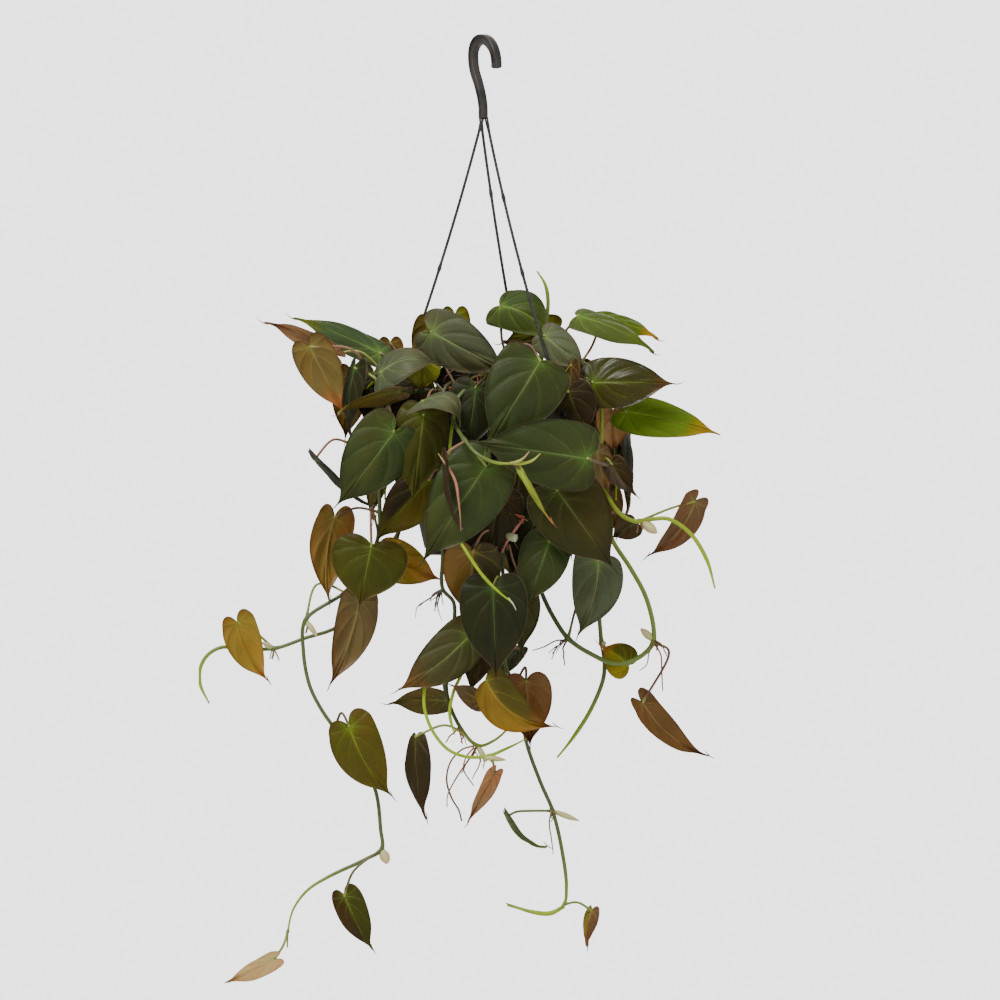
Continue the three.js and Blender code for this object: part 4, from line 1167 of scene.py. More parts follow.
@dataclass(frozen=True)
class Sheath:
    """A pale papery sheath that stands off a stem's node: where it starts and where its tip is."""

    start: Place
    tip: Place
    width: float = 4.8 * MM

    ROWS = 15
    COLUMNS = 7
    BASE_TINT = linear((206, 212, 140))
    TIP_TINT = linear((216, 196, 140))

    def build(self, parts: MeshParts, base: Array, finish: int) -> None:
        """Adds the sheath as a slim folded blade.

        Args:
            parts: The piece's parts.
            base: The point of the stem that it stands on.
            finish: The number of its material.
        """
        reach = at(self.tip) - base
        forward = unit(reach)
        side = unit(np.cross(forward, np.array([0.0, -1.0, 0.1])))
        upper = np.cross(side, forward)
        share = np.linspace(0, 1, self.ROWS)[:, None]
        across = np.linspace(-1, 1, self.COLUMNS)[None, :]
        half = self.width / 2 * np.sin(np.pi * np.clip(share * 0.86 + 0.12, 0, 1)) ** 0.8
        length = np.linalg.norm(reach)
        height = 0.12 * length * np.sin(np.pi * share) - 0.9 * half * across ** 2
        middle = (
            base + share[..., None] * reach + (across * half)[..., None] * side
            + height[..., None] * upper
        )
        body = 0.16 * MM * upper
        blend = np.broadcast_to(share, middle.shape[:2]).reshape(-1, 1)
        tint = toward(np.array(self.BASE_TINT), np.array(self.TIP_TINT), blend)
        wide = self.COLUMNS
        size = self.ROWS * wide
        faces = grid_faces(self.ROWS, wide, False)
        under = [tuple(corner + size for corner in face[::-1]) for face in faces]
        rim = [
            *range(wide), *range(2 * wide - 1, size, wide),
            *range(size - 2, size - wide - 1, -1), *range(size - 2 * wide, 0, -wide),
        ]
        wall = [(a, a + size, b + size, b) for a, b in zip(rim, [*rim[1:], rim[0]])]
        both = np.vstack([(middle + body).reshape(-1, 3), (middle - body).reshape(-1, 3)])
        parts.add(both, [*faces, *under, *wall], finish, tint=np.vstack([tint, tint]))


@dataclass(frozen=True)
class RootTuft:
    """Thin aerial roots that hang from a stem's node.

    The length and the longest root's are in steps, and lean adds to the roots' heading to the
    right and upwards.
    """

    start: Place
    count: int = 4
    length: float = 16.0
    longest: float = 0.0
    lean: tuple[float, float] = (0.0, 0.0)
    tint: Colour = (112, 72, 48)

    BENDS = 7
    RADIUS = 0.76 * MM
    TIP_TINT = linear((170, 130, 90))

    def build(self, lines: Lines, base: Array, seed: int) -> None:
        """Adds the roots' lines.

        Args:
            lines: The lines of the piece's roots.
            base: The point of the stem that they grow from.
            seed: The seed of their directions and bends.
        """
        draw = np.random.default_rng(seed)
        for number in range(self.count):
            reach = self.length * draw.uniform(0.55, 1.1)
            if number == 0 and self.longest:
                reach = self.longest
            right, up = self.lean
            heading = unit(np.array([
                right + draw.normal(0, 0.35), draw.normal(0, 0.3) - 0.25, up - 0.7]))
            points = [base]
            for _ in range(self.BENDS):
                bend = np.array([*draw.normal(0, 0.26, 2), -0.14 + draw.normal(0, 0.18)])
                heading = unit(heading + bend)
                points.append(points[-1] + heading * reach * STEP / self.BENDS)
            line = smooth_line(points, 1.5 * MM)
            share = np.linspace(0, 1, len(line))
            widths = self.RADIUS * (1 - 0.45 * share) * draw.uniform(0.8, 1.2)
            tint = shade(self.tint) * draw.uniform(0.75, 1.2)
            blend = smooth_step(0.75, 1.0, share)[:, None]
            lines.add(line, widths, toward(tint, np.array(self.TIP_TINT), blend))


@dataclass(frozen=True)
class Spur:
    """A slim growth on a stem, such as a horn, a hooked stalk or a stub, through its places."""

    places: tuple[Place, ...]
    widths: tuple[float, ...]
    tints: tuple[Colour, ...]

    def build(self, lines: Lines) -> None:
        """Adds the growth's line, with its radii in millimetres and its colours spread along it."""
        line = smooth_line([at(place) for place in self.places], 1.2 * MM)
        share = np.linspace(0, 1, len(line))
        radius = np.interp(share, np.linspace(0, 1, len(self.widths)), self.widths) * MM
        rows = np.array([linear(tint) for tint in self.tints])
        marks = np.linspace(0, 1, len(rows))
        tints = [np.interp(share, marks, rows[:, band]) for band in range(3)]
        lines.add(line, radius, np.stack(tints, axis=1))


STEM_OLD = shade((78, 68, 42))
PETIOLE_LIME = shade((150, 158, 70))
PETIOLE_PINK = shade((156, 112, 82))
PETIOLE_DARK = shade((104, 76, 54))
# The rows of a stem's foot, of the soil's top and of where the stem starts to bend
FOOT_ROW, SOIL_ROW, RISE_ROW = 446, 399, 405


@dataclass(frozen=True)
class Vine:
    """A trailing vine: its stems, petioles, leaves, sheaths and aerial roots.

    Its stem turns from the old colour to its green and from lime_from on to the colour of its
    young shoot, and thins from taper_from on, both as shares of the stem. A vine that isn't in
    the frame stands for no node.
    """

    name: str
    soil: tuple[float, float]
    route: tuple[Place, ...]
    leaves: tuple[Leaf, ...] = ()
    branches: tuple[tuple[Place, ...], ...] = ()
    sheaths: tuple[Sheath, ...] = ()
    roots: tuple[RootTuft, ...] = ()
    spurs: tuple[Spur, ...] = ()
    in_frame: bool = True
    lime_from: float = 0.8
    lime_branches: bool = True
    green: Colour = (92, 108, 52)
    taper_from: float = 0.84
    shoot: Colour = (158, 184, 16)
    stem_radius: float = 1.6 * MM

    def stems(self) -> list[Array]:
        """Lays out the main stem from its foot in the soil, and then the branches."""
        column, depth = self.soil
        places = [(column, RISE_ROW, depth), (column, SOIL_ROW, depth), *self.route]
        main = smooth_line([at(place) for place in places], 2 * MM)
        foot = np.linspace(at((column, FOOT_ROW, depth)), main[0], 10, endpoint=False)
        lines = [np.vstack([foot, main])]
        for branch in self.branches:
            line = smooth_line([at(place) for place in branch], 2 * MM)
            front = (HOOK_COLUMN + line[0][0] / STEP, HOOK_ROW - line[0][2] / STEP)
            lines.append(np.vstack([nearest_on([main], front)[0], line]))
        return lines

    def petiole(self, leaf: Leaf, base: Array) -> Array:
        """Lays out a petiole from its stem to a little way into the blade's midrib."""
        joint, inner = leaf.surface(np.zeros(2), np.array([0.0, 0.25]))
        if leaf.via:
            bends = [at(place) for place in leaf.via]
        else:
            bends = [(base + joint) / 2 + np.array([0, 0, 0.2 * np.linalg.norm(joint - base)])]
        inwards = joint + unit(inner - joint) * 1.5 * MM
        return np.vstack([smooth_line([base, *bends, joint], 1.6 * MM), inwards])

    def petiole_parts(self, leaf: Leaf, base: Array, number: int) -> tuple[Array, Array, Array]:
        """Shapes and colours a petiole, which swells at both ends and pales at the joint.

        Args:
            leaf: The leaf that it carries.
            base: The point of the stem that it grows from.
            number: The leaf's number, which picks a colour where the leaf names none.

        Returns:
            The petiole's points, and the radius and the colour at each.
        """
        line = self.petiole(leaf, base)
        share = np.linspace(0, 1, len(line))
        swelling = 0.5 * (1 - smooth_step(0, 0.14, share)) + 0.25 * smooth_step(0.86, 0.95, share)
        widths = np.where(share > 0.985, 0.5 * MM, MM * (1.06 + swelling))
        end = (PETIOLE_DARK, PETIOLE_PINK, PETIOLE_LIME)[number % 3]
        if leaf.stalk:
            end = shade(leaf.stalk)
        tint = toward(shade(self.green), end, smooth_step(-0.1, 0.3, share)[:, None])
        return line, widths, toward(tint, PETIOLE_LIME, smooth_step(0.86, 0.97, share)[:, None])

    def stem_widths(self, line: Array, radius: float, knots: Sequence[Array]) -> Array:
        """Gives a stem's radius at each point, thicker at its nodes and thinner at its tip."""
        share = np.linspace(0, 1, len(line))
        widths = radius * (1 - 0.55 * smooth_step(self.taper_from, 1.0, share))
        for knot in knots:
            far = np.linalg.norm(line - knot, axis=1)
            widths = widths * (1 + 0.32 * np.exp(-(far / (2.6 * MM)) ** 2))
        return widths

    def build(self, materials: Material, seed: int) -> None:
        """Builds the vine's leaves and its stems, and puts them in the place of its node."""
        stems = self.stems()
        blades, growth = MeshParts(), MeshParts()
        stalks, roots = Lines(), Lines()
        bases = [nearest_on(stems, leaf.start)[0] for leaf in self.leaves]
        for number, line in enumerate(stems):
            share = np.linspace(0, 1, len(line))[:, None]
            young = smooth_step(self.lime_from, 1.0, share)
            if number and self.lime_branches:
                young = smooth_step(-0.1, 0.3, share)
            green = toward(STEM_OLD, shade(self.green), smooth_step(0, 0.4, share))
            radius = self.stem_radius * (0.85 if number else 1.0)
            widths = self.stem_widths(line, radius, bases)
            stalks.add(line, widths, toward(green, shade(self.shoot), young))
        for number, (leaf, base) in enumerate(zip(self.leaves, bases)):
            stalks.add(*self.petiole_parts(leaf, base, number))
            if leaf.tail:
                stalks.add(*leaf.thread())
            leaf.build(blades, seed * 100 + number)
        for spur in self.spurs:
            spur.build(stalks)
        growth.add_mesh(stalks.sweep(10), 0)
        for number, tuft in enumerate(self.roots):
            tuft.build(roots, nearest_on(stems, tuft.start)[0], seed * 50 + number)
        if self.roots:
            growth.add_mesh(roots.sweep(6), 1)
        for sheath in self.sheaths:
            sheath.build(growth, nearest_on(stems, sheath.start)[0], 2)
        nodes = (self.name,) if self.in_frame else ()
        stalk_materials = [materials.stem, materials.root, materials.sheath]
        carry(growth.piece(f"{self.name}_stems", stalk_materials), "foliage", *nodes)
        if self.leaves:
            leaf_materials = [materials.velvet, materials.underside, materials.glossy]
            carry(blades.piece(f"{self.name}_leaves", leaf_materials), "foliage", *nodes)


FRONT_VINES = (
    Vine(
        name="vine_left_long", green=(88, 104, 52), soil=(426, -24),
        route=(
            (418, 390, -27), (402, 388, -30), (387, 402, -38), (383, 418, -44), (381, 455, -46),
            (380, 490, -46), (380, 512, -46), (379, 535, -46), (366, 566, -46), (345, 592, -48),
            (306, 620, -50), (304, 650, -50), (310, 684, -50), (321, 707, -50), (334, 726, -50),
            (360, 758, -50), (376, 790, -50), (381, 828, -50), (382, 848, -50), (366, 858, -50),
            (330, 875, -50), (308, 889, -52), (294, 908, -52), (289, 928, -52), (288, 946, -52),
        ),
        leaves=(
            Leaf((380, 512), (335, 517, -52), (329, 602, -60), 45, 155, Tone.BRONZE,
                via=((357, 508, -48),), sway=-0.04, gain=1.3),
            Leaf((379, 535), (372, 546, -82), (360, 606, -76), 77, 5, Tone.OLIVE,
                via=((372, 508, -62),)),
            Leaf((306, 618), (360, 599, -62), (329, 686, -62), 42, 170, Tone.MAUVE,
                via=((318, 584, -42),), sway=0.06),
            Leaf((335, 728), (350, 725, -66), (393, 796, -64), 52, 5, Tone.MOSS,
                via=((342, 712, -58),), sway=0.06),
            Leaf((382, 848), (345, 894, -60), (373, 949, -56), 34, 20, Tone.OLIVE,
                via=((354, 870, -60),), half_lighting=(66, 46, 12), stalk=(104, 100, 50)),
            # Painted glow: this pale leaf's gain of 1.8 stands for the light that shines through it
            # from behind.
            Leaf((290, 928), (275, 957, -54), (225, 981, -54), 23, 150, Tone.TAN,
                via=((284, 944, -58),), sway=0.06, tail=0.0, gain=1.8),
        ),
        sheaths=(
            Sheath((306, 620), (318, 636, -56)),
            Sheath((380, 846), (388, 862, -58), width=8.5 * MM),
        ),
        roots=(
            RootTuft((306, 620), 4, 15.0, lean=(0.5, 0.1), tint=(150, 120, 84)),
            RootTuft((383, 598), 4, 26.0, lean=(1.4, 0.55), tint=(120, 108, 100)),
            RootTuft((382, 848), 5, 17.0, tint=(150, 128, 84)),
        ),
    ),
    Vine(
        name="vine_left_reach", green=(98, 114, 50), taper_from=0.95, soil=(440, 14),
        route=(
            (424, 388, 14), (404, 380, 12), (387, 396, 6), (384, 420, 2), (392, 455, -4),
            (398, 490, -10), (399, 530, -16), (384, 570, -22), (360, 605, -28), (337, 627, -32),
            (305, 638, -34), (275, 648, -36), (240, 648, -36), (222, 647, -36), (208, 655, -36),
            (201, 668, -36), (201, 684, -36), (210, 703, -36),
        ),
        leaves=(
            Leaf((404, 380), (390, 342, 30), (391, 384, 30), 27, 180, Tone.BRONZE),
            Leaf((399, 530), (384, 556, -44), (441, 580, -48), 44, 165, Tone.AMBER,
                via=((392, 542, -30),), gain=1.2),
            Leaf((275, 648), (238, 622, -46), (269, 681, -52), 38, 165, Tone.AMBER,
                via=((256, 632, -38),), sway=-0.06, gain=0.88),
        ),
        sheaths=(
            Sheath((275, 648), (263, 642, -44)),
        ),
        roots=(
            RootTuft((275, 648), 4, 14.0, tint=(160, 140, 84)),
        ),
    ),
    Vine(
        name="vine_left_near", soil=(446, -44),
        route=(
            (436, 392, -50), (414, 392, -58), (396, 396, -64), (386, 412, -66), (372, 430, -62),
            (358, 437, -60), (350, 446, -58), (349, 460, -56),
        ),
        leaves=(
            Leaf((386, 412), (395, 432, -116), (337, 507, -104), 66, -8, Tone.VELVET,
                via=((390, 408, -95),), gain=1.2),
            Leaf((350, 442), (315, 460, -70), (374, 508, -70), 34, 82, Tone.DEEP,
                via=((334, 440, -64),)),
            Leaf((396, 396), (355, 368, -30), (350, 438, -30), 42, 62, Tone.DEEP,
                via=((372, 376, -46),)),
            Leaf((414, 392), (400, 392, -84), (338, 413, -92), 34, 115, Tone.MOSS,
                via=((412, 388, -72),)),
            Leaf((436, 392), (424, 415, -109), (413, 502, -103), 54, 0, Tone.OLIVE,
                via=((430, 394, -92),)),
        ),
    ),
    Vine(
        name="vine_left_crown", soil=(452, -8),
        route=(
            (446, 388, -8), (430, 378, -10), (408, 376, -12), (388, 378, -14), (374, 382, -16),
            (366, 390, -16),
        ),
        leaves=(
            Leaf((408, 376), (380, 353, 6), (294, 316, 2), 36, 38, Tone.FRESH,
                via=((398, 364, -2),), arch=0.02, gain=1.12),
            Leaf((374, 382), (310, 347, -36), (344, 414, -36), 42, 180, Tone.FAWN,
                via=((352, 350, -34),)),
            Leaf((388, 378), (335, 354, -10), (265, 321, -12), 27, 140, Tone.COPPER,
                via=((360, 352, -14),)),
            Leaf((366, 390), (352, 374, 0), (345, 441, 0), 38, 180, Tone.BRONZE,
                via=((360, 378, -6),)),
            Leaf((430, 378), (381, 373, -66), (440, 364, -74), 50, -45, Tone.SHEEN_GREY,
                via=((402, 376, -44),), arch=0.2, gain=1.1),
        ),
    ),
    Vine(
        name="vine_front_left", green=(66, 80, 34), soil=(466, -58),
        route=(
            (458, 390, -78), (449, 385, -90), (443, 396, -98), (441, 420, -98), (441, 470, -92),
            (442, 520, -88), (443, 555, -90), (443, 588, -92), (454, 602, -92), (452, 640, -92),
            (447, 690, -92), (460, 725, -92), (478, 744, -92), (494, 739, -92), (508, 727, -92),
            (520, 712, -94),
        ),
        branches=(
            ((449, 655, -92), (434, 664, -100), (426, 683, -104), (425, 706, -108),
             (433, 729, -110), (449, 748, -110), (468, 755, -110), (488, 754, -110),
             (508, 746, -110), (526, 737, -110)),
            ((452, 640, -92), (464, 664, -100), (454, 690, -104), (450, 712, -104),
             (455, 733, -104)),
        ),
        leaves=(
            Leaf((458, 390), (431, 332, -60), (511, 373, -66), 54, 10, Tone.SHEEN_GREY,
                via=((441, 358, -50),)),
            Leaf((441, 470), (430, 480, -74), (376, 541, -64), 52, 15, Tone.MOSS,
                half_lighting=(52, 42, 18), gain=1.35),
            Leaf((441, 450), (470, 494, -114), (451, 567, -110), 46, 0, Tone.UMBER,
                via=((456, 472, -104),)),
            Leaf((452, 625), (470, 634, -112), (397, 690, -110), 50, 0, Tone.SAGE,
                via=((461, 618, -104),), sway=-0.04),
            Leaf((450, 668), (447, 699, -80), (389, 702, -76), 34, 150, Tone.OLIVE,
                via=((444, 682, -84),), lobes=0.4, shoulder=0.7, gain=0.6),
            Leaf((478, 745), (416, 735, -92), (425, 818, -92), 36, 38, Tone.UMBER,
                via=((447, 724, -94),), lobes=0.35, shoulder=0.5),
            Leaf((488, 751), (494, 771, -112), (467, 820, -112), 19, 150, Tone.COPPER,
                via=((493, 760, -112),), sway=0.05, gain=1.1, stalk=(120, 136, 50)),
        ),
        sheaths=(
            Sheath((478, 745), (487, 760, -98)),
            Sheath((482, 755), (506, 758, -112)),
        ),
        roots=(
            RootTuft((443, 588), 6, 30.0, lean=(-0.7, 0.0), tint=(96, 88, 86)),
            RootTuft((478, 744), 6, 34.0, 76.0, lean=(-0.2, -0.3), tint=(150, 98, 62)),
            RootTuft((460, 725), 4, 22.0, tint=(150, 104, 66)),
        ),
        spurs=(
            Spur(((443, 588, -92), (430, 598, -100), (418, 606, -102), (416, 617, -102)),
                (0.8, 0.6, 0.5, 0.25), ((110, 92, 70), (92, 76, 58), (120, 96, 70))),
            Spur(((443, 588, -92), (438, 604, -98), (442, 620, -100)), (0.75, 0.55, 0.25),
                ((110, 92, 70), (100, 80, 60), (120, 96, 70))),
            Spur(((476, 744, -92), (462, 748, -98), (451, 760, -100), (447, 778, -100),
                (452, 796, -99), (459, 808, -98), (462, 819, -98)), (0.8, 0.75, 0.85, 0.7),
                ((140, 110, 70), (116, 82, 58), (104, 70, 54), (96, 82, 66))),
            Spur(((474, 746, -92), (466, 756, -98), (464, 768, -100), (474, 784, -100)),
                (0.8, 0.65, 0.6, 0.5), ((140, 110, 70), (126, 92, 58), (110, 84, 56))),
        ),
    ),
    Vine(
        name="vine_front_shoots", soil=(482, -66),
        route=(
            (478, 384, -92), (466, 390, -104), (455, 405, -112), (454, 420, -118), (458, 430, -140),
            (466, 442, -166), (478, 455, -182), (495, 463, -186), (510, 464, -188),
            (521, 463, -188),
        ),
        branches=(
            ((455, 412, -114), (451, 440, -128), (450, 480, -131), (450, 510, -128),
             (455, 530, -135), (468, 553, -154), (484, 576, -160), (500, 592, -160),
             (513, 602, -160)),
        ),
        leaves=(
            Leaf((456, 402), (423, 402, -131), (461, 428, -137), 50, -60, Tone.SHEEN_GREY,
                via=((440, 404, -114),), arch=0.42, gain=1.2),
            Leaf((466, 441), (443, 459, -172), (461, 530, -170), 34, 84, Tone.UMBER,
                via=((452, 450, -172),), sway=0.05),
            Leaf((464, 440), (486, 466, -148), (422, 563, -144), 74, 0, Tone.VELVET,
                via=((474, 452, -156),), gain=1.18),
            Leaf((512, 464), (519, 469, -188), (552, 524, -184), 7, 20, Tone.LIME,
                via=((516, 466, -188),)),
        ),
        spurs=(
            Spur(((509, 464, -188), (518, 462, -192), (524, 458, -193), (529, 452, -192)),
                (1.2, 1.4, 0.9, 0.35), ((150, 164, 60), (176, 170, 90), (190, 128, 100))),
            Spur(((508, 597, -160), (513, 603, -161), (516, 609, -161)), (1.0, 0.6, 0.2),
                ((190, 200, 90), (220, 224, 190), (236, 236, 220))),
            Spur(((439, 454, -174), (443, 460, -180), (450, 470, -182), (456, 482, -182),
                (459, 500, -181), (461, 520, -178), (461, 531, -172)),
                (0.4, 0.9, 1.2, 1.2, 0.8, 0.6, 0.3), ((150, 150, 90), (206, 132, 104),
                (196, 120, 108), (176, 124, 96), (140, 104, 80))),
            Spur(((511, 464, -188), (521, 464, -190), (532, 461, -189), (540, 454, -187)),
                (1.2, 1.5, 1.1, 0.3), ((150, 164, 60), (170, 190, 60), (186, 196, 70))),
        ),
    ),
    Vine(
        name="vine_front_centre", green=(84, 98, 42), soil=(500, -62),
        route=(
            (500, 388, -86), (501, 384, -100), (502, 396, -108), (503, 430, -109), (503, 480, -106),
            (503, 540, -100), (503, 600, -96), (505, 660, -94), (512, 684, -92), (522, 712, -90),
            (526, 740, -88), (540, 780, -86), (552, 808, -86), (561, 845, -86), (566, 885, -86),
            (563, 903, -86), (545, 911, -86), (525, 908, -86), (507, 903, -86),
        ),
        leaves=(
            Leaf((501, 386), (540, 362, -124), (487, 447, -132), 78, 0, Tone.VELVET,
                via=((508, 354, -108), (528, 346, -116)), lobes=0.5),
            Leaf((503, 530), (473, 551, -124), (470, 620, -118), 58, 180, Tone.BRONZE,
                via=((484, 532, -116),), half_lighting=(60, 56, 22)),
            Leaf((503, 590), (493, 586, -142), (496, 677, -134), 68, 0, Tone.DEEP,
                via=((498, 576, -124),)),
            Leaf((503, 596), (513, 590, -108), (523, 652, -104), 50, 0, Tone.DUSKY),
            Leaf((505, 655), (519, 648, -80), (494, 684, -78), 28, 60, Tone.SHEEN_GREY),
            Leaf((508, 674), (486, 679, -126), (556, 725, -122), 46, 170, Tone.GOLD,
                via=((494, 668, -112),), sway=-0.15, lobes=0.3, half_lighting=(84, 74, 16), gain=1.15),
            Leaf((514, 688), (526, 680, -106), (530, 745, -104), 50, 180, Tone.RUST,
                via=((525, 666, -98),)),
            Leaf((552, 808), (506, 815, -88), (546, 846, -90), 22, 75, Tone.BRIGHT,
                via=((530, 809, -88), (516, 810, -88)), arch=0.13, stalk=(112, 122, 50)),
            Leaf((564, 901), (591, 908, -88), (586, 944, -88), 22, 50, Tone.ROSY,
                via=((577, 900, -88),), gain=1.15, half_lighting=(136, 122, 30), stalk=(120, 144, 44)),
        ),
        sheaths=(
            Sheath((552, 808), (579, 819, -88)),
        ),
        roots=(
            RootTuft((503, 512), 16, 26.0, lean=(1.1, 0.6), tint=(176, 84, 50)),
            RootTuft((503, 530), 7, 30.0, lean=(0.1, -0.2), tint=(170, 120, 96)),
            RootTuft((522, 712), 5, 14.0, tint=(150, 104, 66)),
            RootTuft((552, 808), 4, 12.0, tint=(150, 120, 84)),
        ),
        spurs=(
            Spur(((504, 533, -104), (509, 536, -110), (516, 538, -114)), (2.0, 2.8, 3.5, 3.3),
                ((120, 130, 70), (172, 182, 122), (206, 212, 168))),
            Spur(((524, 518, -106), (514, 531, -112), (507, 541, -110), (502, 552, -106)),
                (0.8, 1.2, 1.2, 0.8), ((170, 104, 84), (190, 120, 104), (170, 110, 90))),
            Spur(((509, 544, -108), (513, 560, -112), (519, 575, -112), (521, 588, -110)),
                (0.9, 0.9, 0.8, 0.6), ((140, 104, 76), (112, 78, 60))),
            Spur(((551, 808, -88), (549, 822, -90), (551, 836, -92), (553, 852, -92)),
                (0.8, 0.65, 0.6, 0.4), ((150, 120, 84), (116, 104, 80), (120, 110, 96))),
            Spur(((564, 904, -84), (549, 911, -86), (530, 909, -86), (517, 905, -84),
                (506, 901, -82)), (1.5, 2.1, 1.9, 1.3, 0.5), ((150, 176, 30), (160, 186, 20),
                (150, 172, 40), (84, 96, 24))),
        ),
    ),
    Vine(
        name="vine_front_right", soil=(520, -58),
        route=(
            (524, 388, -78), (528, 383, -92), (530, 396, -101), (531, 430, -102), (531, 480, -98),
            (531, 530, -92), (532, 562, -90),
        ),
        leaves=(
            Leaf((531, 450), (520, 470, -97), (511, 576, -88), 40, 8, Tone.UMBER,
                via=((526, 458, -110),)),
            Leaf((531, 500), (540, 506, -100), (508, 580, -86), 50, -10, Tone.DEEP),
            Leaf((532, 530), (549, 541, -114), (526, 606, -117), 50, 0, Tone.VELVET,
                via=((540, 530, -104),)),
        ),
    ),
    Vine(
        name="vine_right_reach", stem_radius=1.75 * MM, green=(138, 156, 38), lime_from=0.4,
        taper_from=0.9, soil=(548, -40),
        route=(
            (556, 386, -48), (576, 380, -56), (592, 388, -62), (600, 404, -64), (601, 430, -64),
            (600, 460, -64), (606, 492, -66), (620, 514, -68), (634, 521, -68), (652, 519, -68),
            (668, 519, -68), (690, 534, -68), (706, 560, -68), (714, 588, -68),
        ),
        leaves=(
            Leaf((600, 462), (587, 459, -162), (473, 442, -164), 70, 0, Tone.VELVET,
                via=((606, 466, -110),), lobes=0.6),
            Leaf((601, 440), (596, 452, -76), (608, 494, -76), 28, 165, Tone.MAUVE),
            Leaf((600, 462), (611, 464, -84), (635, 496, -84), 27, 30, Tone.UMBER,
                half_lighting=(104, 90, 72)),
            Leaf((640, 521), (694, 501, -58), (645, 556, -58), 30, 160, Tone.ROSY,
                via=((668, 509, -60),), sway=0.14, stalk=(140, 152, 60)),
        ),
        sheaths=(
            Sheath((641, 521), (656, 533, -76), width=8.5 * MM),
        ),
        roots=(
            RootTuft((638, 521), 3, 12.0, tint=(150, 110, 80)),
        ),
    ),
    Vine(
        name="vine_right_loop", stem_radius=2.0 * MM, green=(120, 140, 52), taper_from=0.96,
        shoot=(62, 82, 38), lime_from=0.62, soil=(556, -14),
        route=(
            (568, 384, -16), (586, 378, -18), (602, 388, -22), (608, 406, -26), (606, 440, -30),
            (603, 480, -36), (604, 515, -42), (612, 540, -48), (630, 568, -54), (645, 596, -58),
            (653, 628, -60), (652, 643, -60), (638, 657, -60), (615, 663, -60), (590, 653, -60),
            (568, 638, -60), (554, 618, -58), (543, 596, -56), (537, 578, -56),
        ),
        leaves=(
            Leaf((604, 500), (556, 490, -136), (613, 568, -128), 76, 0, Tone.DUSKY,
                via=((592, 506, -90),), tail=16),
            Leaf((604, 515), (634, 523, -46), (611, 538, -40), 27, 165, Tone.DEEP),
            Leaf((568, 638), (598, 559, -86), (577, 636, -84), 52, 0, Tone.SHEEN_GREY, stalk=(88, 58, 60),
                via=((578, 600, -66),), sway=-0.07, lobes=0.6, gain=1.3),
            Leaf((652, 643), (642, 702, -62), (707, 756, -62), 31, 150, Tone.RUST,
                via=((668, 650, -62),), sway=-0.07, stalk=(104, 64, 58)),
        ),
        sheaths=(
            Sheath((653, 640), (640, 628, -66), width=6.5 * MM),
        ),
        roots=(
            RootTuft((568, 638), 6, 30.0, lean=(-1.2, 0.45), tint=(88, 70, 58)),
            RootTuft((653, 640), 6, 20.0, lean=(0.8, 0.3), tint=(120, 84, 62)),
        ),
        spurs=(
            Spur(((568, 640, -60), (556, 640, -66), (544, 646, -68), (532, 650, -68)),
                (0.75, 0.65, 0.6, 0.4), ((110, 84, 60), (92, 68, 52), (130, 100, 74))),
            Spur(((653, 642, -58), (660, 654, -62), (661, 670, -62), (662, 690, -62)),
                (0.8, 0.7, 0.65, 0.5), ((150, 108, 84), (150, 98, 78), (160, 110, 90))),
            Spur(((651, 642, -58), (648, 654, -62), (646, 664, -62), (639, 670, -62)),
                (0.75, 0.6, 0.5, 0.4), ((150, 130, 84), (120, 84, 66), (130, 124, 84))),
        ),
    ),
    Vine(
        name="vine_right_low", stem_radius=1.75 * MM, taper_from=0.92, green=(94, 112, 40),
        soil=(552, 6),
        route=(
            (566, 388, 8), (584, 380, 9), (600, 390, 8), (607, 408, 6), (604, 440, 3),
            (599, 480, -4), (596, 520, -14), (596, 560, -26), (598, 600, -34), (601, 640, -40),
            (604, 660, -42), (603, 678, -42), (590, 710, -42), (572, 738, -42), (557, 757, -42),
        ),
        leaves=(
            Leaf((601, 642), (628, 664, -50), (601, 645, -50), 38, 20, Tone.YOUNG,
                via=((614, 660, -44),), gain=1.25, half_lighting=(92, 92, 14)),
        ),
        sheaths=(
            Sheath((601, 640), (604, 650, -46)),
        ),
        roots=(
            RootTuft((601, 640), 4, 12.0, tint=(150, 110, 80)),
        ),
    ),
    Vine(
        name="vine_right_crown", soil=(530, -30),
        route=(
            (538, 384, -30), (556, 370, -28), (576, 362, -26), (590, 368, -26), (598, 382, -28),
        ),
        leaves=(
            Leaf((576, 362), (578, 316, -20), (655, 351, -24), 41, -52, Tone.BRIGHT,
                via=((562, 340, -22),), lobes=0.4, gain=1.35),
            Leaf((580, 363), (602, 318, 4), (659, 338, 4), 32, -50, Tone.YELLOWING,
                via=((592, 346, -10),)),
            Leaf((592, 370), (592, 383, -82), (675, 384, -84), 52, -10, Tone.GLOSSY,
                via=((588, 372, -50),)),
            Leaf((598, 382), (625, 412, -60), (720, 434, -62), 42, -22, Tone.YELLOWING,
                via=((612, 396, -44),), tail=0.0, gain=1.35),
            Leaf((598, 380), (612, 412, -44), (614, 454, -44), 33, 180, Tone.COPPER,
                via=((606, 392, -36),), gain=1.3),
            Leaf((556, 370), (571, 366, -74), (577, 410, -76), 26, 60, Tone.RUST,
                via=((560, 378, -50),)),
        ),
    ),
    Vine(
        name="vine_crown_top", green=(120, 140, 48), soil=(538, 18),
        route=(
            (538, 380, 16), (542, 352, 10), (546, 325, 6), (548, 300, 4), (545, 284, 4),
            (537, 271, 4),
        ),
        spurs=(
            Spur(((502, 341, 6), (516, 341, 2), (530, 343, 0), (540, 339, 0)), (0.9, 1.0, 1.0, 0.9),
                ((150, 116, 60), (146, 104, 60))),
            Spur(((508, 352, -2), (520, 346, -4), (532, 341, -4), (541, 352, -4)),
                (0.9, 1.0, 1.0, 0.9), ((140, 100, 60), (150, 112, 62), (150, 160, 74))),
        ),
        leaves=(
            Leaf((538, 372), (500, 306, -6), (550, 343, -16), 48, -10, Tone.BRIGHT,
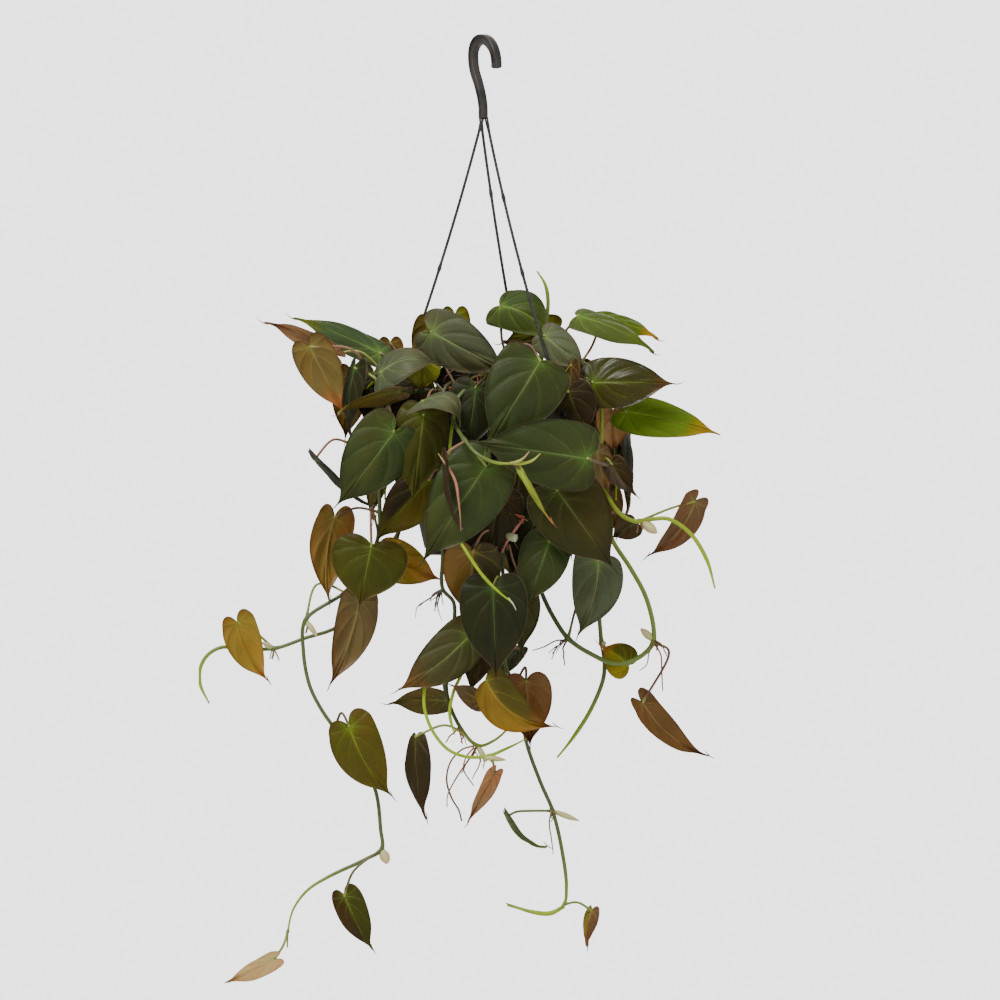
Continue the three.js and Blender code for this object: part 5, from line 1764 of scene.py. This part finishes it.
                via=((506, 352, 0),), sway=-0.14, lobes=0.7, gain=0.84),
            Leaf((540, 360), (556, 330, 24), (500, 344, 18), 36, 180, Tone.BACKLIT,
                via=((554, 342, 20),)),
            Leaf((541, 356), (544, 336, -50), (587, 370, -60), 36, -5, Tone.SHEEN_GREY,
                via=((540, 342, -14),), gain=1.35),
        ),
    ),
    Vine(
        name="vine_crown_middle", soil=(474, -20),
        route=(
            (470, 384, -20), (460, 366, -22), (448, 356, -24), (438, 352, -26),
        ),
        leaves=(
            Leaf((460, 366), (455, 315, -26), (456, 372, -36), 31, 180, Tone.BACKLIT,
                via=((462, 344, -20),)),
            Leaf((440, 353), (429, 323, -42), (420, 376, -40), 30, 180, Tone.OLIVE,
                via=((428, 340, -34),)),
            # Painted glow: this leaf's gain of 1.7 stands for the light that shines through the blade
            # from behind.
            Leaf((448, 356), (424, 364, -60), (422, 393, -62), 34, 180, Tone.BACKLIT,
                via=((438, 368, -46),), gain=1.7),
        ),
    ),
    Vine(
        name="inner_leaves_front", soil=(490, -52), in_frame=False,
        route=(
            (488, 392, -66), (486, 382, -84), (487, 392, -100), (489, 430, -105), (490, 490, -100),
        ),
        leaves=(
            Leaf((486, 384), (476, 388, -108), (468, 454, -108), 52, 5, Tone.DEEP),
            Leaf((488, 388), (568, 392, -92), (588, 436, -82), 46, 15, Tone.UMBER,
                via=((530, 378, -104),)),
            Leaf((489, 470), (500, 496, -110), (487, 562, -108), 52, 0, Tone.UMBER),
            Leaf((490, 486), (484, 636, -104), (470, 693, -100), 32, 10, Tone.UMBER,
                via=((492, 600, -98),)),
            Leaf((490, 486), (482, 701, -112), (451, 683, -112), 22, 20, Tone.MAUVE,
                via=((496, 640, -96),)),
        ),
    ),
    Vine(
        name="inner_leaves_crown", soil=(500, -20), in_frame=False,
        route=(
            (502, 390, -18), (500, 374, -14), (494, 366, -10), (482, 362, -8),
        ),
        leaves=(
            Leaf((490, 364), (452, 366, -20), (502, 402, -34), 48, -15, Tone.DEEP),
            Leaf((484, 362), (482, 360, -4), (462, 410, -18), 46, 10, Tone.OLIVE),
            Leaf((500, 372), (576, 362, 0), (560, 412, -10), 48, 0, Tone.UMBER,
                via=((546, 362, -6),)),
            Leaf((500, 376), (548, 364, 10), (598, 402, 0), 46, 10, Tone.DEEP),
            Leaf((482, 362), (413, 382, -30), (398, 434, -40), 46, 0, Tone.UMBER,
                via=((444, 362, -20),)),
            Leaf((484, 363), (374, 372, -10), (364, 424, -20), 38, 0, Tone.DEEP,
                via=((430, 356, -8),)),
        ),
    ),
)


@dataclass(frozen=True)
class BackGrowth:
    """A vine that hangs round the back or a side, made by rule: its leaves take turns.

    It hangs at an azimuth in degrees, reach steps from the pot's axis, down to the end row.
    """

    azimuth: float
    reach: float
    leaves: int
    end: float

    SOIL_RADIUS = 62
    TOP_ROW = 372
    HANG_ROW = 412
    FIRST_ROW = 392
    LEAF_LENGTH = 74
    LEAF_WIDTH = 54
    TONES = (Tone.OLIVE, Tone.VELVET, Tone.MOSS, Tone.DEEP, Tone.BRONZE)
    DRAW_FACTOR = 16807
    DRAW_LIMIT = 2147483647

    def vine(self, index: int) -> Vine:
        """Works out the vine's route and leaves from its azimuth, reach and end.

        Args:
            index: The vine's number, which also seeds its draws.

        Returns:
            The vine.
        """
        draw = self.draws(1009 + 77 * index)
        azimuth, reach = self.azimuth, self.reach
        degrees = 180 / (math.pi * reach)
        column, _, depth = around(azimuth, self.SOIL_RADIUS, 0)
        middle = (self.HANG_ROW + self.end) / 2
        route = (
            around(azimuth, self.SOIL_RADIUS + 14, self.TOP_ROW + 12),
            around(azimuth, self.SOIL_RADIUS + 34, self.TOP_ROW),
            around(azimuth, reach - 4, 388),
            around(azimuth, reach, self.HANG_ROW),
            around(azimuth, reach, middle),
            around(azimuth, reach, self.end),
        )
        spacing = (self.end - self.FIRST_ROW - 20) / self.leaves
        leaves = []
        for order in range(self.leaves):
            side = 1 if order % 2 == 0 else -1
            row = self.FIRST_ROW + spacing * order + 4 * next(draw)
            size = 1 - 0.08 * order + 0.05 * next(draw)
            joint = azimuth + side * 13 * degrees
            tip = joint + (side * 8 + 5 * next(draw)) * degrees
            leaves.append(Leaf(
                around(azimuth, reach, row + 14), around(joint, reach + 9, row),
                around(tip, reach + 15, row + self.LEAF_LENGTH * size), self.LEAF_WIDTH * size,
                6 * next(draw), self.TONES[(order + index) % len(self.TONES)], facing=joint,
            ))
        return Vine(
            name=f"vine_back_{index + 1}", soil=(column, depth), route=route,
            leaves=tuple(leaves), roots=(RootTuft(around(azimuth, reach, middle), 3, 14.0),),
        )

    def draws(self, seed: int) -> Iterable[float]:
        """Gives repeatable draws between -1 and 1."""
        while True:
            seed = (seed * self.DRAW_FACTOR) % self.DRAW_LIMIT
            yield 2 * seed / self.DRAW_LIMIT - 1


BACK_VINES = tuple(BackGrowth(*row) for row in (
    (26, 110, 2, 466), (46, 138, 4, 530), (64, 112, 4, 560), (88, 134, 4, 600),
    (113, 112, 4, 560), (138, 132, 3, 500), (159, 112, 2, 450), (2, 122, 3, 500),
    (183, 109, 3, 500),
))


def ring_faces(rings: int, sides: int, turned: bool = False) -> list[tuple[int, ...]]:
    """Lists the faces between rings of points.

    Args:
        rings: The number of rings.
        sides: The number of points in each.
        turned: True to turn the faces round.

    Returns:
        Four corners for each face.
    """
    faces = []
    for low in range(0, (rings - 1) * sides, sides):
        high = low + sides
        for side in range(sides):
            after = (side + 1) % sides
            quad = (low + side, low + after, high + after, high + side)
            faces.append((quad[0], *quad[:0:-1]) if turned else quad)
    return faces


def lathe(
    profile: Sequence[tuple[float, float]], sides: int
) -> tuple[Array, list[tuple[int, ...]]]:
    """Turns a profile round the pot's axis.

    Args:
        profile: Radius and height of each point in metres, from the inside of the floor's middle
            round to the outside; the first and last lie on the axis.
        sides: The number of sides.

    Returns:
        The points and the faces, which point outwards.
    """
    centre = at((POT_COLUMN, HOOK_ROW, 0))
    angles = np.linspace(0, 2 * np.pi, sides, endpoint=False)
    inner = profile[1:-1]
    circle = np.stack([np.cos(angles), np.sin(angles), 0 * angles], axis=1)
    rings = [centre + r * circle + z * UP for r, z in inner]
    ends = [centre + profile[0][1] * UP, centre + profile[-1][1] * UP]
    points = np.vstack([*rings, *ends])
    faces = ring_faces(len(inner), sides, turned=True)
    first, last = len(points) - 2, len(points) - 1
    top = (len(inner) - 1) * sides
    for side in range(sides):
        after = (side + 1) % sides
        faces.append((first, side, after))
        faces.append((last, top + after, top + side))
    return points, faces


@dataclass
class HangingPot:
    """The round hanging pot: a thin tapered shell with a rolled rim, three lugs and drain holes."""

    rim_row: float = 410
    lip_row: float = 420
    base_row: float = POT_BASE_ROW
    rim_radius: float = RIM_STEPS * STEP
    neck_radius: float = NECK_STEPS * STEP
    base_radius: float = BASE_STEPS * STEP
    wall: float = WALL_STEPS * STEP
    floor: float = WALL_STEPS * STEP
    sides: int = 128
    lug_azimuths: tuple[float, ...] = (192, 70.5, 311)
    lug_middle: float = 106
    lug_size: tuple[float, float, float] = (14, 11, 6)
    drain_holes: int = 6
    drain_ring: float = 36
    drain_radius: float = 4 * STEP
    drain_sides: int = 32

    def profile(self) -> list[tuple[float, float]]:
        """Draws the shell's profile from the inside of the floor over the rim to the foot."""
        rim, lip, base = (at((0, row, 0))[2] for row in (self.rim_row, self.lip_row, self.base_row))
        inner_lip = lip - 4 * STEP
        bead = 0.7 * MM
        foot, neck, edge = self.base_radius, self.neck_radius, self.rim_radius
        inner, top = foot - self.wall, base + self.floor
        inside = [
            (0.0, top), (inner - 3 * MM, top), (inner - 0.6 * MM, top + 0.7 * MM),
            (inner + 0.4 * MM, top + 3 * MM), (neck - self.wall, inner_lip),
            (edge - self.wall, rim - bead), (edge - self.wall + bead, rim),
        ]
        outside = [
            (edge - bead, rim), (edge, rim - bead), (edge, lip + bead), (edge - bead, lip),
            (neck + 0.3 * MM, lip - 0.1 * MM), (neck - 0.2 * MM, lip - 1.2 * MM),
            (foot + 1.3 * MM, base + 6 * MM), (foot + 0.2 * MM, base + 5.4 * MM),
            (foot, base + 0.9 * MM), (foot - 0.9 * MM, base), (0.0, base),
        ]
        return [*inside, *outside]

    def lug(self, azimuth: float) -> tuple[Array, list[tuple[int, ...]]]:
        """Shapes one rounded lug on the rim."""
        turn = math.radians(azimuth)
        out = np.array([math.cos(turn), math.sin(turn), 0.0])
        side = np.array([-out[1], out[0], 0.0])
        centre = at((POT_COLUMN, LUG_ROW, 0))
        deep, wide, high = self.lug_size
        mesh = bmesh.new()
        bmesh.ops.create_cube(mesh, size=1.0)
        for vertex in mesh.verts:
            x, y, z = vertex.co
            reach = (self.lug_middle + deep * x) * STEP
            vertex.co = centre + out * reach + side * y * wide * STEP + UP * (z * high * STEP)
        bmesh.ops.bevel(
            mesh, geom=mesh.edges[:], offset=1.1 * MM, segments=3, profile=0.6, affect="EDGES")
        points = np.array([vertex.co[:] for vertex in mesh.verts])
        faces = [tuple(vertex.index for vertex in face.verts) for face in mesh.faces]
        mesh.free()
        return points, faces

    def build(self, materials: Material) -> None:
        """Builds the pot and cuts its drain holes."""
        parts = MeshParts()
        parts.add(*lathe(self.profile(), self.sides), 0)
        pot = parts.piece("pot_shell", [materials.pot])
        cutters = MeshParts()
        sides = self.drain_sides
        ring = np.linspace(0, 2 * np.pi, sides, endpoint=False)
        circle = np.stack([np.cos(ring), np.sin(ring), 0 * ring], axis=1) * self.drain_radius
        rise = UP * 8 * STEP
        caps = (tuple(range(sides - 1, -1, -1)), tuple(range(sides, 2 * sides)))
        for hole in range(self.drain_holes):
            spot = at(around(360 * hole / self.drain_holes, self.drain_ring, self.base_row))
            points = np.vstack([spot + circle - rise, spot + circle + rise])
            cutters.add(points, [*ring_faces(2, sides), *caps], 0)
        cutter = cutters.piece("drain_cutter", [materials.pot])
        cut = pot.modifiers.new("drain holes", "BOOLEAN")
        cut.object, cut.operation, cut.solver = cutter, "DIFFERENCE", "EXACT"
        shell = evaluated_mesh(pot)
        bpy.data.objects.remove(cutter)
        whole = MeshParts()
        whole.add_mesh(shell, 0)
        for azimuth in self.lug_azimuths:
            whole.add(*self.lug(azimuth), 0)
        piece = whole.piece("hanging_pot", [materials.pot])
        piece.data.set_sharp_from_angle(angle=math.radians(38))
        carry(piece, "black_plastic", "pot")


@dataclass
class PottingMix:
    """The soil that fills the pot, with an uneven crumbly top."""

    edge_row: float = 420
    mound_row: float = 411
    rings: int = 26
    sides: int = 96
    top_radius: float = (NECK_STEPS - WALL_STEPS - SOIL_GAP_STEPS) * STEP
    base_radius: float = (BASE_STEPS - WALL_STEPS - SOIL_GAP_STEPS) * STEP
    mound_radius: float = 50 * STEP
    waves: int = 24
    roughness: float = 1.6 * MM

    def build(self, materials: Material) -> None:
        """Builds the body of the soil and scatters crumbs over its top."""
        draw = np.random.default_rng(5)
        low = at((0, POT_BASE_ROW - WALL_STEPS - SOIL_GAP_STEPS, 0))[2]
        edge = at((0, self.edge_row, 0))[2]
        mound = at((0, self.mound_row, 0))[2]
        profile = [(0.0, low), (self.base_radius, low), (self.top_radius, edge - 4 * STEP)]
        outer = self.top_radius - 1.2 * MM
        for radius in np.linspace(outer, 2 * MM, self.rings):
            share = smooth_step(self.mound_radius, outer, radius)
            profile.append((float(radius), mound + (edge - mound) * float(share) - 1.0 * MM))
        profile.append((0.0, mound - 1.0 * MM))
        points, faces = lathe(profile, self.sides)
        faces = [face[::-1] for face in faces]
        top = slice(2 * self.sides, len(points) - 2)
        rough = points[top]
        waves = np.zeros(len(rough))
        for _ in range(self.waves):
            heading = draw.normal(0, 1, 2) * draw.uniform(120, 500)
            waves += np.sin(rough[:, :2] @ heading + draw.uniform(0, FULL_TURN))
        rough[:, 2] += np.clip(waves / self.waves, -0.6, 0.6) * self.roughness
        points[top] = rough
        parts = MeshParts()
        parts.add(points, faces, 0)
        piece = parts.piece("potting_mix", [materials.soil])
        carry(piece, "potting_mix", "soil")
        bed = bpy.data.meshes.new("bed")
        upper = [face for face in faces if len(face) == 4 and min(face) >= 2 * self.sides]
        bed.from_pydata(points.tolist(), [], upper)
        crumbs = CRUMBS.grow(bed, Material=materials.soil)
        carry(put("soil_crumbs", crumbs), "potting_mix", "soil")


@dataclass(frozen=True)
class DryLitter:
    """Dry roots and curled brown sheath threads that lie among the stems over the soil."""

    fibres: int = 90
    middle: Place = (474, 390, -56)
    spread: tuple[float, float, float] = (38, 9, 26)
    dark: Colour = (84, 58, 34)
    pale: Colour = (182, 140, 90)

    def build(self, materials: Material) -> None:
        """Builds the fibres as one piece."""
        draw = np.random.default_rng(23)
        lines = Lines()
        for _ in range(self.fibres):
            start = at(np.array(self.middle) + draw.normal(0, 0.5, 3) * np.array(self.spread))
            heading = unit(draw.normal(0, 1, 3) * np.array([1.0, 0.8, 0.45]))
            bend = draw.normal(0, 0.5, 3)
            points = [start]
            for _ in range(6):
                heading = unit(heading + bend * 0.7 + draw.normal(0, 0.25, 3))
                points.append(points[-1] + heading * draw.uniform(2, 5) * MM)
            line = smooth_line(points, 1.4 * MM)
            share = np.linspace(0, 1, len(line))
            widths = draw.uniform(0.3, 0.75) * MM * (1 - 0.7 * share)
            lines.add(line, widths, shade(draw.uniform(self.dark, self.pale)))
        parts = MeshParts()
        parts.add_mesh(lines.sweep(6), 0)
        carry(parts.piece("dry_litter", [materials.root]), "potting_mix")


@dataclass
class Hook:
    """The moulded hook: a bar with a groove in both flat sides, bent in a turned plane."""

    turn: float = math.radians(-52)
    depth: float = 8.5 * STEP
    half_width: float = 3.9 * STEP
    crown_extra: float = 1.1 * STEP
    crown_row: float = 52
    crown_rows: float = 13
    foot_share: float = 0.74
    groove_rim: float = 1.5 * STEP
    groove_depth: float = 2.1 * STEP
    line: tuple[tuple[float, float], ...] = (
        (23.5, 69), (23, 60), (20, 51), (13, 43.2), (4, 39.3), (-4, 39.8), (-10, 43.6),
        (-13.6, 50), (-14.3, 58), (-12, 70), (-5.4, 84), (-0.5, 97), (1.6, 107), (2, 118),
    )

    def section(self, half: float, groove: float) -> Array:
        """Draws the bar's section as (across, through) points, with rounded corners and grooves.

        Args:
            half: Half of the bar's width.
            groove: How deep the grooves are here.

        Returns:
            The section's points, counter-clockwise.
        """
        deep = self.depth / 2
        round_off = 0.8 * MM
        floor = deep - groove
        rim = self.groove_rim
        quarter = [
            (half, 0.0), (half, deep - round_off),
            (half - 0.3 * round_off, deep - 0.3 * round_off), (half - round_off, deep),
            (half - rim, deep), (half - rim - 0.25 * MM, deep - 0.25 * MM),
            (half - rim - 0.3 * MM, floor + 0.2 * MM), (half - rim - 0.6 * MM, floor), (0.0, floor),
        ]
        left = [(-x, y) for x, y in quarter[-2::-1]]
        upper = [*quarter, *left]
        lower = [(x, -y) for x, y in upper[-2:0:-1]]
        return np.array([*upper, *lower])

    def build(self, materials: Material) -> None:
        """Sweeps the section along the hook's centre line and closes its ends."""
        flat = [np.array([x * STEP, 0.0, (HOOK_ROW - row) * STEP]) for x, row in self.line]
        line = smooth_line(flat, 1.0 * MM)
        run = np.linspace(0, 1, len(line))
        out = np.array([math.cos(self.turn), math.sin(self.turn), 0.0])
        through = np.array([-out[1], out[0], 0.0])
        rings = []
        for index, (point, share) in enumerate(zip(line, run)):
            ahead = unit(line[min(index + 1, len(line) - 1)] - line[max(index - 1, 0)])
            normal = np.array([-ahead[2], 0.0, ahead[0]])
            row = HOOK_ROW - point[2] / STEP
            crown = min(max((self.crown_row - row) / self.crown_rows, 0.0), 1.0)
            taper = min(1.0, 0.55 + share / 0.02) if share < 0.02 else 1.0
            slim = 1 - (1 - self.foot_share) * float(smooth_step(0.45, 1.0, share))
            half = (self.half_width + self.crown_extra * crown) * taper * slim
            opened = smooth_step(0.02, 0.045, share) * smooth_step(0.93, 0.9, share)
            groove = self.groove_depth * float(opened)
            centre = out * point[0] + np.array([0, 0, point[2]])
            sideways = out * normal[0] + np.array([0, 0, normal[2]])
            section = self.section(half, groove)
            rings.append(centre + section[:, :1] * sideways + section[:, 1:] * through * taper)
        size = len(rings[0])
        last = (len(rings) - 1) * size
        ends = (tuple(range(size - 1, -1, -1)), tuple(range(last, last + size)))
        faces = [*ring_faces(len(rings), size), *ends]
        parts = MeshParts()
        parts.add(np.vstack(rings), faces, 0)
        piece = parts.piece("hanger_hook", [materials.hook])
        shell = bmesh.new()
        shell.from_mesh(piece.data)
        bmesh.ops.recalc_face_normals(shell, faces=shell.faces)
        shell.to_mesh(piece.data)
        shell.free()
        piece.data.set_sharp_from_angle(angle=math.radians(50))
        carry(piece, "black_plastic", "hook")


@dataclass
class Strand:
    """A thin hanger strand from the hook's foot through a lug to the button under it."""

    name: str
    azimuth: float
    top: tuple[float, float]
    bow: float
    nubs: tuple[float, ...] = ()
    radius: float = 1.2 * MM

    TOP_ROW = 117.6
    END_STEPS = 107

    def build(self, materials: Material) -> None:
        """Sweeps the strand along its line and adds its button."""
        start = at((self.top[0], self.TOP_ROW, self.top[1]))
        end = at(around(self.azimuth, self.END_STEPS, LUG_ROW))
        inward = unit(at((POT_COLUMN, LUG_ROW, 0)) - end) * self.bow * STEP
        share = np.linspace(0, 1, 60)[:, None]
        line = start + (end - start) * share + inward * 4 * share * (1 - share)
        heading = unit(end - line[45])
        under = (3 * STEP) + 0.3 * MM + 1.6 * MM
        tail = [end + heading * (under + more * MM) for more in (0, 0.4, 1.5, 1.8)]
        line = np.vstack([line[:-1], *tail])
        widths = np.full(len(line), self.radius)
        widths[:3] = (1.7 * MM, 1.6 * MM, 1.4 * MM)
        for nub in self.nubs:
            widths[int(nub * len(share))] = 1.75 * MM
        widths[-4:] = (self.radius, 2.1 * MM, 2.15 * MM, 1.7 * MM)
        lines = Lines()
        lines.add(line, widths, np.ones(3))
        parts = MeshParts()
        parts.add_mesh(lines.sweep(16), 0)
        piece = parts.piece(f"{self.name}_wire", [materials.strand])
        carry(piece, "strand_plastic", self.name)


@dataclass
class Studio:
    """The pale floor, the soft lights and the camera."""

    centre: tuple[float, float] = (500, 500)
    distance: float = 12.0
    floor_height: float = -1.0
    ambient: float = 0.42
    backdrop: float = 2.8
    floor_half: float = 3.0
    aim: tuple[float, float, float] = (0.015, 0, -0.4)
    sensor: float = 36.0
    picture_steps: float = 1000

    def floor(self, materials: Material) -> None:
        """Lays the pale floor under the hanging plant."""
        mesh = bpy.data.meshes.new("studio_floor")
        half = self.floor_half
        corners = ((-half, -half), (half, -half), (half, half), (-half, half))
        mesh.from_pydata([(x, y, self.floor_height) for x, y in corners], [], [(0, 1, 2, 3)])
        mesh.materials.append(materials.floor)
        floor = put("studio_floor", mesh)
        floor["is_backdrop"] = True

    def light(
        self, name: str, place: tuple[float, float, float], size: float, power: float
    ) -> None:
        """Hangs a soft square light that points at the plant."""
        lamp = bpy.data.lights.new(name, "AREA")
        lamp.energy, lamp.size = power, size
        made = put(name, lamp)
        made.location = place
        made.rotation_mode = "QUATERNION"
        made.rotation_quaternion = (Vector(self.aim) - Vector(place)).to_track_quat("-Z", "Y")

    def surroundings(self) -> None:
        """Sets the even pale light that surrounds the plant."""
        world = bpy.data.worlds.new("pale studio")
        world.use_nodes = True
        sheet = NodeSheet(world.node_tree)
        soft = sheet.add("ShaderNodeBackground", {0: (1.0, 0.99, 0.97, 1.0), 1: self.ambient})
        seen = sheet.add("ShaderNodeBackground", {0: (1.0, 1.0, 1.0, 1.0), 1: self.backdrop})
        path = sheet.add("ShaderNodeLightPath")
        mixed = sheet.add("ShaderNodeMixShader", {
            0: path.outputs[0], 1: soft.outputs[0], 2: seen.outputs[0]})
        sheet.add("ShaderNodeOutputWorld", {0: mixed.outputs[0]})
        bpy.context.scene.world = world

    def camera(self) -> None:
        """Stands the camera level with the picture's middle, as far off as a long lens would be."""
        data = bpy.data.cameras.new("camera")
        data.sensor_width = self.sensor
        data.lens = self.sensor * self.distance / (self.picture_steps * STEP)
        data.clip_end = 100.0
        camera = put("camera", data)
        middle = at((*self.centre, 0))
        camera.location = (middle[0], -self.distance, middle[2])
        camera.rotation_euler = (math.radians(90), 0, 0)
        bpy.context.scene.camera = camera

    def build(self, materials: Material) -> None:
        """Builds the whole stage."""
        self.camera()
        self.surroundings()
        self.floor(materials)
        self.light("key light", (-1.1, -1.5, 2.1), 1.1, 92)
        self.light("fill light", (2.0, -2.0, 0.2), 2.0, 16)
        self.light("back light", (0.4, 2.2, 0.8), 1.6, 20)


STRANDS = (
    Strand("strand_left", 192, (482.6, -3), 4.5, (0.51,)),
    Strand("strand_back", 70.5, (480.6, 2.6), 8.5, (0.26,)),
    Strand("strand_right", 311, (486.2, -0.6), 7.5, (0.27, 0.52)),
)


def main() -> None:
    """Builds the stage and every piece of the plant."""
    logging.basicConfig(level=logging.INFO, format="%(name)s: %(message)s")
    materials = Material()
    Studio().build(materials)
    Hook().build(materials)
    for strand in STRANDS:
        strand.build(materials)
    HangingPot().build(materials)
    PottingMix().build(materials)
    DryLitter().build(materials)
    vines = [*FRONT_VINES, *(growth.vine(index) for index, growth in enumerate(BACK_VINES))]
    for index, vine in enumerate(vines):
        vine.build(materials, index + 1)
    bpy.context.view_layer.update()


if __name__ == "__main__":
    main()
